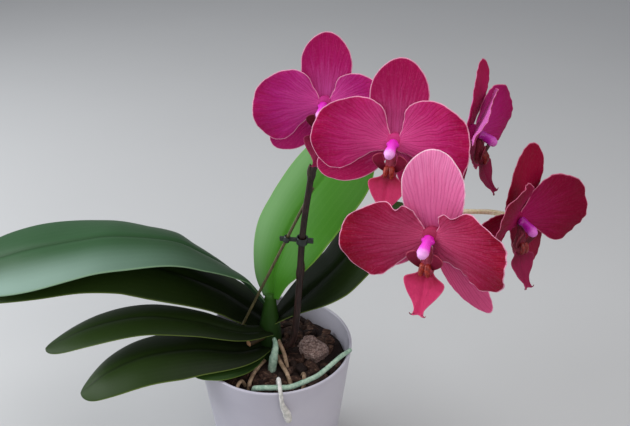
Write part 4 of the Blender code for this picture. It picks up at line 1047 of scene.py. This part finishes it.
def make_pedicel(bloom, look):
    """The ribbed stalk from the flower stem to the back of a bloom."""
    rows, sides = 70, 24
    matrix = bloom_matrix(bloom)
    end = matrix @ Vector((0, 0, -HUB_BACK - GAP - 0.35 * PEDICEL_RADIUS))
    behind = matrix @ Vector((0, -0.002, -HUB_BACK - PEDICEL_BACK))
    start = Vector(bloom.joins)
    path = smooth_path([start, start.lerp(behind, 0.5), behind, end], rows)
    share = np.linspace(0, 1, rows)[:, None]
    ribs = 1 + 0.07 * np.cos(6 * angles_round(sides) + 3.0 * share)
    swell = 1 + 0.30 * np.clip(share - 0.55, 0, 1)
    shell = tube(path, PEDICEL_RADIUS * swell * ribs, sides, (0.3, 0.35))
    number = bloom.name[-1]
    make_piece(f"stalk_{number}", [shell], [look], f"pedicel_{number}")


def leaf_shape(leaf, share):
    """A leaf's width as a share of its widest, from stem (0) to tip (1)."""
    opened = np.clip(share / leaf.swell, 0, 1) ** 1.1
    neck = leaf.neck + (1 - leaf.neck) * opened * (2 - opened)
    end = np.sqrt(np.clip(1 - np.clip((share - 0.60) / 0.40, 0, 1) ** 2.3, 0.0016, 1))
    return neck * end


def leaf_middle(leaf, columns, shares):
    """A leaf's middle surface as a grid, from stem to tip and edge to edge, its half widths and length."""
    path = smooth_path(leaf.midrib, 600)
    known = np.arange(600)
    centre = sampled(path, known, shares * 599)
    along = unit_rows(sampled(unit_rows(np.gradient(path, axis=0)), known, shares * 599))
    face = (1 - shares)[:, None] * np.array(leaf.face_base) + shares[:, None] * np.array(leaf.face_tip)
    up = unit_rows(face - along * (face * along).sum(axis=1)[:, None])
    across = np.cross(along, up)
    half = 0.5 * leaf.width * leaf_shape(leaf, shares)
    fold = leaf.fold_base + (leaf.fold_tip - leaf.fold_base) * np.minimum(1.0, shares / 0.45)
    angle = np.radians(fold[:, None] - LEAF_CURL * np.abs(columns))
    sideways = columns * half[:, None] * np.cos(angle)
    raised = np.abs(columns) * half[:, None] * np.sin(angle)
    grid = centre[:, None] + across[:, None] * sideways[:, :, None] + up[:, None] * raised[:, :, None]
    return grid, half, path_steps(path).sum()


def make_leaf(leaf, look):
    """A leaf with a grooved midrib, a keel below it, gentle waves and a rounded rim."""
    shares = np.sin(np.linspace(0, math.pi / 2, 110)) ** 1.15
    columns = np.concatenate([-LEAF_COLUMNS[:0:-1], LEAF_COLUMNS])
    grid, half, length = leaf_middle(leaf, columns, shares)
    normals = unit_rows(np.cross(np.gradient(grid, axis=1), np.gradient(grid, axis=0)))
    groove = hump(np.abs(columns) * half[:, None], 0, GROOVE_HALF) * np.clip(1.25 - shares, 0, 1)[:, None]
    wave = rough(grid.reshape(-1, 3), 22, leaf.width * 100).reshape(grid.shape[:2])
    wave = LEAF_WAVE * wave * np.clip(shares * 4, 0, 1)[:, None]
    closing = np.sqrt(np.clip(1 - (np.clip(np.abs(columns) - 0.93, 0, None) / 0.07) ** 2, 0, 1))
    thick = 0.5 * (LEAF_THICK + (LEAF_EDGE - LEAF_THICK) * columns**2) * closing
    depth = LEAF_GROOVE * leaf.width / 0.060
    upper = grid + normals * (wave + thick - depth * groove)[:, :, None]
    lower = grid + normals * (wave - thick - 0.8 * depth * groove)[:, :, None]
    middle = len(columns) // 2
    tip = grid[-1].mean(axis=0) + unit_rows(grid[-1, middle] - grid[-3, middle]) * 0.0006
    rings = np.concatenate([upper, lower[:, -2:0:-1]], axis=1)
    points, faces = closed_shell(rings, grid[0].mean(axis=0), tip)
    across_mark = np.concatenate([columns, columns[-2:0:-1]])
    upper_mark = np.concatenate([np.ones(len(columns)), np.zeros(len(columns) - 2)])
    marks = np.stack(np.broadcast_arrays(across_mark, (shares * length)[:, None], upper_mark), axis=-1)
    marks = np.vstack([marks.reshape(-1, 3), (0, 0, 1), (0, length, 1)])
    make_piece(f"{leaf.name}_blade", [(points, faces, marks)], [look], leaf.name)


def make_crown(look):
    """The short stem, which swells softly where the feet of the leaves wrap it."""
    rows, sides = 60, 40
    path = smooth_path(CROWN_PATH, rows)
    radii = np.interp(np.linspace(0, 1, rows), np.linspace(0, 1, len(CROWN_RADII)), CROWN_RADII)
    radii = np.repeat(radii[:, None], sides, axis=1)
    spokes = spokes_round(path, sides)[1]
    for leaf in LEAVES:
        foot = np.array(leaf.midrib[0])
        facing = np.clip(spokes @ unit_rows(np.array(leaf.midrib[2]) - foot), 0, 1) ** 2
        radii = radii + 0.0007 * hump(path[:, 2], foot[2] - 0.003, 0.0120)[:, None] * facing
    points, faces, _ = tube(path, radii, sides, (0.3, 0.5))
    # The height stands as the length along, so the crown is dark low down: painted shade at its foot
    marks = np.column_stack([np.full(len(points), 0.5), points[:, 2] - 0.1, np.ones(len(points))])
    make_piece("crown_sheaths", [(points, faces, marks)], [look], "crown")


def make_root(name, look):
    """A root with an uneven skin. Some are pointed, or swell at the tip."""
    route, start, end = ROOTS[name]
    rows, sides = max(40, round(path_steps(route).sum() / 0.0007)), 20
    path = smooth_path(route, rows)
    profile = np.interp(np.linspace(0, 1, rows), *ROOT_PROFILES.get(name, ((0, 1), (1, 1))))
    radii = (np.linspace(start, end, rows) * profile)[:, None] * np.ones(sides)
    seed = float(name[-1])
    skin = (path[:, None] + spokes_round(path, sides)[1] * radii[:, :, None]).reshape(-1, 3)
    bumps = rough(skin, 320, seed) * 0.09 + rough(skin, 1100, seed) * 0.035
    radii = radii * (0.97 + bumps.reshape(rows, sides))
    make_piece(f"{name}_skin", [tube(path, radii, sides)], [look], name)


def make_spike(looks):
    """The flower stem, which tapers, swells a little at each node, and has a pointed sheath there."""
    rows, sides = 420, 20
    path = smooth_path(SPIKE_PATH, rows)
    along = np.linspace(0, 1, rows)
    radii = SPIKE_RADIUS_BASE + (SPIKE_RADIUS_TIP - SPIKE_RADIUS_BASE) * along
    for node in SPIKE_NODES:
        radii = radii + NODE_SWELL * hump(along, node, NODE_REACH)
    shells = [tube(path, radii[:, None] * (1 + 0.02 * np.cos(5 * angles_round(sides))), sides)]
    share = np.linspace(0, 1, 22)[:, None]
    sheath = np.interp(share[:, 0], SHEATH_STATIONS, SHEATH_RADII)
    for number, node in enumerate(SPIKE_NODES):
        index = round(node * (rows - 1))
        heading = Vector(path[index + 8] - path[index]).normalized()
        out = heading.orthogonal().normalized()
        out.rotate(Matrix.Rotation(2.1 * number, 3, heading))
        route = path[index] + SHEATH_LENGTH * share * np.array(heading)
        route = route + (0.0006 + 0.0030 * share) * np.array(out)
        shells.append((*tube(route, sheath, 18), 1))
    make_piece("stem_with_sheaths", shells, looks, "flower_stem")


def make_stub(looks):
    """The brown end of an old flower stem that was cut off. The cut has the second look."""
    rows, sides = 26, 24
    share = np.linspace(0, 1, rows)[:, None]
    radii = CUT_STUB_RADIUS * (0.94 + 0.05 * np.cos(4 * angles_round(sides)) * share + 0.05 * share)
    points, faces, marks = tube(smooth_path(CUT_STUB, rows), radii, sides, (0.3, 0.12))
    end = (len(DOME) + rows - 1) * sides
    slots = [int(min(face) >= end) for face in faces]
    make_piece("stub_of_old_stem", [(points, faces, marks, slots)], looks, "cut_stub")


def make_stake(look):
    """The thin stake, finely grooved along its length."""
    foot, top = np.array(STAKE_FOOT), np.array(STAKE_TOP)
    sides = 18
    share = np.linspace(0, 1, 160)[:, None]
    radii = STAKE_RADIUS * (0.98 + 0.03 * np.cos(6 * angles_round(sides)) + 0.02 * np.sin(60 * share))
    rod = tube(foot + share * (top - foot), radii, sides, (0.35, 0.35))
    make_piece("stake_rod", [rod], [look], "stake")


def rounded_ring(centre, axis, inner, tall):
    """A ring of the clip about an axis, with a rounded rectangular section."""
    around, section, squareness = 56, 20, 0.45
    side = axis.orthogonal().normalized()
    other = axis.cross(side)
    turn = angles_round(section)
    wide, high = (np.sign(v) * np.abs(v) ** squareness for v in (np.cos(turn), np.sin(turn)))
    radial = (inner + 0.5 * CLIP_WALL + 0.5 * CLIP_WALL * wide)[:, None]
    level = (0.5 * tall * high)[:, None] * np.array(axis)
    rings = []
    for angle in angles_round(around):
        spoke = np.array(math.cos(angle) * side + math.sin(angle) * other)
        rings.append(np.array(centre) + radial * spoke + level)
    numbers = ring_numbers(around, section)
    return np.vstack(rings), join_rings([*numbers, numbers[0]]), NO_MARKS


def rounded_block(centre, right, up, size):
    """A block with rounded edges, size along right, up and the direction across both."""
    work = bmesh.new()
    bmesh.ops.create_cube(work, size=1.0)
    for vertex in work.verts:
        vertex.co = Vector([c * s for c, s in zip(vertex.co, size)])
    bmesh.ops.bevel(work, geom=work.edges[:], offset=min(size) * 0.28, segments=4, profile=0.5,
                    affect="EDGES")
    work.verts.ensure_lookup_table()
    back = right.cross(up)
    points = [centre + v.co.x * right + v.co.y * up + v.co.z * back for v in work.verts]
    faces = [tuple(v.index for v in face.verts) for face in work.faces]
    work.free()
    return points, faces, NO_MARKS


def make_clip(look):
    """The clip: a ring round the stake and a ring round the stem, a bridge, and two finger tabs."""
    foot, top = Vector(STAKE_FOOT), Vector(STAKE_TOP)
    stake = foot.lerp(top, (CLIP_HEIGHT - foot.z) / (top.z - foot.z))
    path = smooth_path(SPIKE_PATH, 400)[:200]
    index = int(np.argmin(np.abs(path[:, 2] - CLIP_HEIGHT)))
    stem = Vector(path[index])
    stem_axis = Vector(path[index + 2] - path[index - 2]).normalized()
    between = (stem - stake).normalized()
    up = (stem_axis - between * stem_axis.dot(between)).normalized()
    stem_hole, stake_hole = SPIKE_RADIUS_BASE + GAP, STAKE_RADIUS + GAP
    start = stake + between * (stake_hole + 0.5 * CLIP_WALL)
    end = stem - between * (stem_hole + 0.5 * CLIP_WALL)
    stem_tab = stem + between * (stem_hole + CLIP_WALL + 0.0018)
    stake_tab = stake - between * (stake_hole + CLIP_WALL + 0.0010)
    make_piece("clip_body", [
        rounded_ring(stem, stem_axis, stem_hole, CLIP_TALL),
        rounded_ring(stake, (top - foot).normalized(), stake_hole, CLIP_TALL * 0.8),
        rounded_block(start.lerp(end, 0.5), between, up, ((end - start).length, *CLIP_BRIDGE)),
        rounded_block(stem_tab, between, up, CLIP_STEM_TAB),
        rounded_block(stake_tab, between, up, CLIP_STAKE_TAB),
    ], [look], "clip")


def pot_radius(z):
    """The pot's outer radius at a height."""
    return POT_BASE_RADIUS + (POT_RIM_RADIUS - POT_BASE_RADIUS) * z / POT_HEIGHT


def rounded_corner(centre, radius, start, stop, count=6):
    """Points of an arc in the profile's plane, in degrees from straight out."""
    angles = np.radians(np.linspace(start, stop, count))
    return [(centre[0] + radius * math.cos(a), centre[1] + radius * math.sin(a)) for a in angles]


def make_pot(look):
    """The pot: a tapering wall with a rounded rim and foot, and a slightly recessed underside."""
    half = 0.5 * POT_WALL
    foot = (POT_BASE_RADIUS - FOOT_ROUND, FOOT_ROUND)
    inner_foot = (pot_radius(POT_FLOOR) - POT_WALL - FLOOR_ROUND, POT_FLOOR + FLOOR_ROUND)
    profile = [(0.0440, 0.0006), (0.0452, 0.0005), (0.0460, 0.0), (POT_BASE_RADIUS - 0.0025, 0.0)]
    profile += rounded_corner(foot, FOOT_ROUND, -70, -8)
    profile += [(pot_radius(z), z) for z in np.linspace(0.006, POT_HEIGHT - 0.003, 24)]
    profile += rounded_corner((POT_RIM_RADIUS - half, POT_HEIGHT - half), half, 0, 180, 14)
    profile += [(pot_radius(z) - POT_WALL, z) for z in np.linspace(POT_HEIGHT - 0.003, 0.009, 20)]
    profile += rounded_corner(inner_foot, FLOOR_ROUND, 0, -90)
    make_piece("pot_shell", [turned_solid(profile, 168)], [look], "pot")


def bark_height(x, y):
    """The bark's surface, mounded round the stem and lower at the wall."""
    away = math.hypot(x, y) / POT_RIM_RADIUS
    ripple = BARK_RIPPLE * math.sin(190 * x + 1.3) * math.cos(170 * y)
    return BARK_LEVEL + BARK_MOUND * (1 - away**2) + ripple


def lump(half, seed, detail, block, bumps):
    """An uneven rounded block as points about its middle, with its faces."""
    work = bmesh.new()
    bmesh.ops.create_icosphere(work, subdivisions=detail, radius=1.0)
    points = np.array([v.co for v in work.verts])
    faces = [tuple(v.index for v in face.verts) for face in work.faces]
    work.free()
    shaped = np.sign(points) * np.abs(points) ** block
    size = 1 + bumps * rough(points, 1.7, seed) + 0.4 * bumps * rough(points, 4.6, seed + 3.1)
    return shaped * np.array(half) * size[:, None], faces


def bark_bed():
    """The rough bed that fills the pot under the chips."""
    sides = 120
    reach = POT_WALL + GAP
    rings = [circle(pot_radius(POT_FLOOR) - reach - 0.0038, POT_FLOOR + GAP, sides),
             circle(pot_radius(0.008) - reach, 0.008, sides)]
    for share in np.linspace(1.0, 0.03, 34):
        ring = circle((pot_radius(BARK_LEVEL - 0.003) - reach) * share, 0.0, sides)
        ring[:, 2] = [bark_height(x, y) - BED_SINK for x, y, _ in ring]
        ring[:, 2] += 0.0012 * rough(ring, 210)
        rings.append(ring)
    top = (0, 0, bark_height(0, 0) - 0.002)
    return *closed_shell(rings, (0, 0, POT_FLOOR + GAP), top), (0.15, 0, 0)


def bark_chips():
    """Chips on the bed, kept off the roots, the stem, the nugget and the pot's wall."""
    rng = random.Random(BARK_SEED)
    inner = pot_radius(BARK_LEVEL) - POT_WALL - 0.0008
    roots = []
    for route, start, end in ROOTS.values():
        path = smooth_path(route, 60)
        roots += [(Vector(p), r) for p, r in zip(path, np.linspace(start, end, 60)) if p[2] > 0.108]
    chips = []
    for _ in range(BARK_TRIES):
        if len(chips) == BARK_CHIPS:
            break
        angle, away = rng.uniform(0, 2 * math.pi), CHIP_SPREAD * math.sqrt(rng.uniform(0.0, 1.0))
        x, y = away * math.cos(angle), away * math.sin(angle)
        half = [rng.uniform(*sizes) for sizes in zip(CHIP_LEAST, CHIP_MOST)]
        centre = Vector((x, y, bark_height(x, y) + rng.uniform(*CHIP_LEVELS)))
        turn = Matrix.Rotation(rng.uniform(0, 2 * math.pi), 3, "Z")
        for axis in "XY":
            turn = turn @ Matrix.Rotation(rng.uniform(-CHIP_TILT, CHIP_TILT), 3, axis)
        tone = rng.uniform(0.0, 1.0)
        if math.hypot(x - CROWN_FOOT[0], y - CROWN_FOOT[1]) < CROWN_CLEAR + half[1]:
            continue
        if (centre - Vector(NUGGET_CENTRE)).length < NUGGET_CLEAR + half[1] * 0.5:
            continue
        if any((centre - p).length < r + 0.75 * half[1] for p, r in roots):
            continue
        points, faces = lump(half, 7.3 * len(chips), 3, 0.55, 0.26)
        points = points @ np.array(turn).T + np.array(centre)
        if np.hypot(points[:, 0], points[:, 1]).max() <= inner:
            chips.append((points, faces, (tone, 0, 0)))
    return chips


def make_nugget(look):
    """The large piece of bark, layered and cracked."""
    turn = Matrix.Rotation(math.radians(-28), 3, "Z") @ Matrix.Rotation(math.radians(14), 3, "Y")
    points, faces = lump(NUGGET_HALF, 2.0, 5, 0.72, 0.20)
    layers = 0.00014 * np.sin(points[:, 2] * 1500 + 5 * rough(points, 150))
    cracks = 0.0014 * np.clip(0.14 - np.abs(rough(points, 150, 4.0)), 0, 1) / 0.14
    points = points + unit_rows(points) * (layers - cracks)[:, None]
    shell = (points @ np.array(turn).T + np.array(NUGGET_CENTRE), faces, (1.0, 0, 0))
    make_piece("nugget_of_bark", [shell], [look], "bark_nugget")


def make_potting():
    make_pot(plastic_look("pot_satin", (197, 194, 205), (186, 183, 196)))
    bark = bark_look("bark_surface", (32, 21, 18), (80, 56, 46), (136, 106, 88))
    make_piece("bark_pieces", [bark_bed(), *bark_chips()], [bark], "bark_mix")
    make_nugget(bark_look("nugget_surface", (84, 62, 56), (156, 132, 124), (200, 180, 174)))


def make_plant():
    leaf_looks = {name: leaf_look(name) for name in LEAF_COLOURS}
    for leaf in LEAVES:
        make_leaf(leaf, leaf_looks[LEAF_LOOKS.get(leaf.name, "leaf_dark")])
    make_crown(leaf_looks["sheath_green"])
    mint = root_look("root_mint_skin", (134, 166, 146), (178, 202, 182), (104, 120, 90), 0.35)
    silver = root_look("root_silver_skin", (184, 184, 178), (226, 222, 218), (150, 140, 126), 0.3)
    tan = root_look("root_tan_skin", (130, 106, 84), (178, 152, 126), (84, 62, 50), 0.5)
    for name in ROOTS:
        look = {"root_1": mint, "root_2": mint, "root_3": silver}.get(name, tan)
        make_root(name, look)
    make_spike([stem_look("stem_skin", (34, 22, 21), (54, 36, 33), (44, 44, 30)),
                stem_look("sheath_skin", (52, 42, 34), (76, 64, 50), (40, 30, 26))])
    make_stub([stem_look("stub_skin", (52, 42, 28), (70, 56, 38), (40, 34, 24)),
               plain_look("cut_wood", (166, 120, 84), (186, 146, 108), 0.8, 900.0)])
    make_stake(stem_look("stake_skin", (70, 66, 42), (96, 88, 60), (54, 46, 32)))
    make_clip(plain_look("clip_plastic", (22, 30, 26), (38, 46, 42), 0.35, 300.0))


def bloom_looks(bloom):
    """The looks of a bloom's petals, its upper sepal, its back and its lower sepals."""
    tones = BLOOM_COLOURS[bloom.name]
    petal, sepal, lower, back = tones["petal"], tones["sepal"], tones["lower"], tones["back"]
    # The shaded blooms take the darker rim: painted shade
    edge = SHADED_EDGE if bloom.name in SHADED_BLOOMS else PALE_EDGE
    sepal_edge, sepal_vein = (PALEST_EDGE, PALE_SEPAL_VEIN) if bloom.name in PALE_SEPALS else (edge, sepal[2])
    return [
        tepal_look(f"{bloom.name}_petal", petal, edge, petal[2], 0.40, 0.62),
        tepal_look(f"{bloom.name}_sepal", sepal, sepal_edge, sepal_vein, 0.30, 0.60, **SEPAL_FAN),
        tepal_look(f"{bloom.name}_back", (back, back, back), edge, petal[1], 0.30),
        tepal_look(f"{bloom.name}_lower_sepal", (sepal[0], lower, lower), edge, petal[2], 0.30, 0.45,
                   **SEPAL_FAN),
    ]


def lip_looks(name):
    """The looks of a lip's middle lobe, its side lobes, its callus and its tendrils."""
    tones = LIP_COLOURS[name]
    return [
        lip_look(f"{name}_middle", tones["middle"], 900.0),
        lip_look(f"{name}_sides", tones["sides"], 700.0),
        plain_look(f"{name}_callus", *tones["callus"], 0.45, 700.0),
        plain_look(f"{name}_tendrils", *tones["tendrils"], 0.5, 900.0),
    ]


def make_blooms():
    # The second lip looks and the second column look are darker copies for the shaded blooms and lips:
    # painted shade
    bright_lip, dusky_lip = lip_looks("lip"), lip_looks("dusky_lip")
    bright_column = column_look("column", (214, 14, 178), (238, 76, 220), (250, 172, 244))
    dusky_column = column_look("dusky_column", (152, 8, 130), (182, 28, 168), (212, 104, 200))
    stalk = stem_look("stalk", (222, 218, 172), (236, 232, 202), (206, 194, 156))
    for bloom in BLOOMS:
        make_tepals(bloom, bloom_looks(bloom))
        make_lip(bloom, dusky_lip if bloom.name in SHADED_LIPS else bright_lip)
        make_column(bloom, dusky_column if bloom.name in SHADED_BLOOMS else bright_column)
        make_pedicel(bloom, stalk)


def make_camera():
    camera = bpy.data.cameras.new("camera")
    camera.sensor_width = 36.0
    camera.sensor_fit = "HORIZONTAL"
    camera.lens = CAMERA_LENS
    camera.clip_start = 0.01
    obj = linked("camera", camera)
    obj.location = CAMERA_PLACE
    obj.rotation_euler = (math.radians(CAMERA_PITCH), 0.0, 0.0)
    bpy.context.scene.camera = obj


def make_lights():
    """A broad window light from the left, a soft fill, a light from above and a faint warm glow."""
    for name, (place, size, power, colour) in LIGHTS.items():
        light = bpy.data.lights.new(name, "AREA")
        light.shape = "RECTANGLE"
        light.size, light.size_y = size
        light.energy = power
        light.color = colour
        obj = linked(name, light)
        obj.location = place
        obj.rotation_euler = (Vector(LIGHT_TARGET) - Vector(place)).to_track_quat("-Z", "Y").to_euler()


def make_studio():
    """A pale floor and an even pale surround."""
    world = bpy.data.worlds.new("studio")
    world.use_nodes = True
    background = world.node_tree.nodes["Background"]
    background.inputs["Color"].default_value = SKY_COLOUR
    background.inputs["Strength"].default_value = SKY_STRENGTH
    bpy.context.scene.world = world
    bpy.context.scene.view_settings.view_transform = "Standard"
    floor = bpy.data.meshes.new("floor")
    corners = [(x * FLOOR_HALF, y * FLOOR_HALF, 0) for x, y in ((-1, -1), (1, -1), (1, 1), (-1, 1))]
    floor.from_pydata(corners, [], [(0, 1, 2, 3)])
    look = Look("floor_paint", Roughness=0.7)
    floor.materials.append(look.finish(look.mix(look.noise(3.0), *FLOOR_GREYS)))
    linked("floor", floor)


make_camera()
make_lights()
make_studio()
make_potting()
make_plant()
make_blooms()
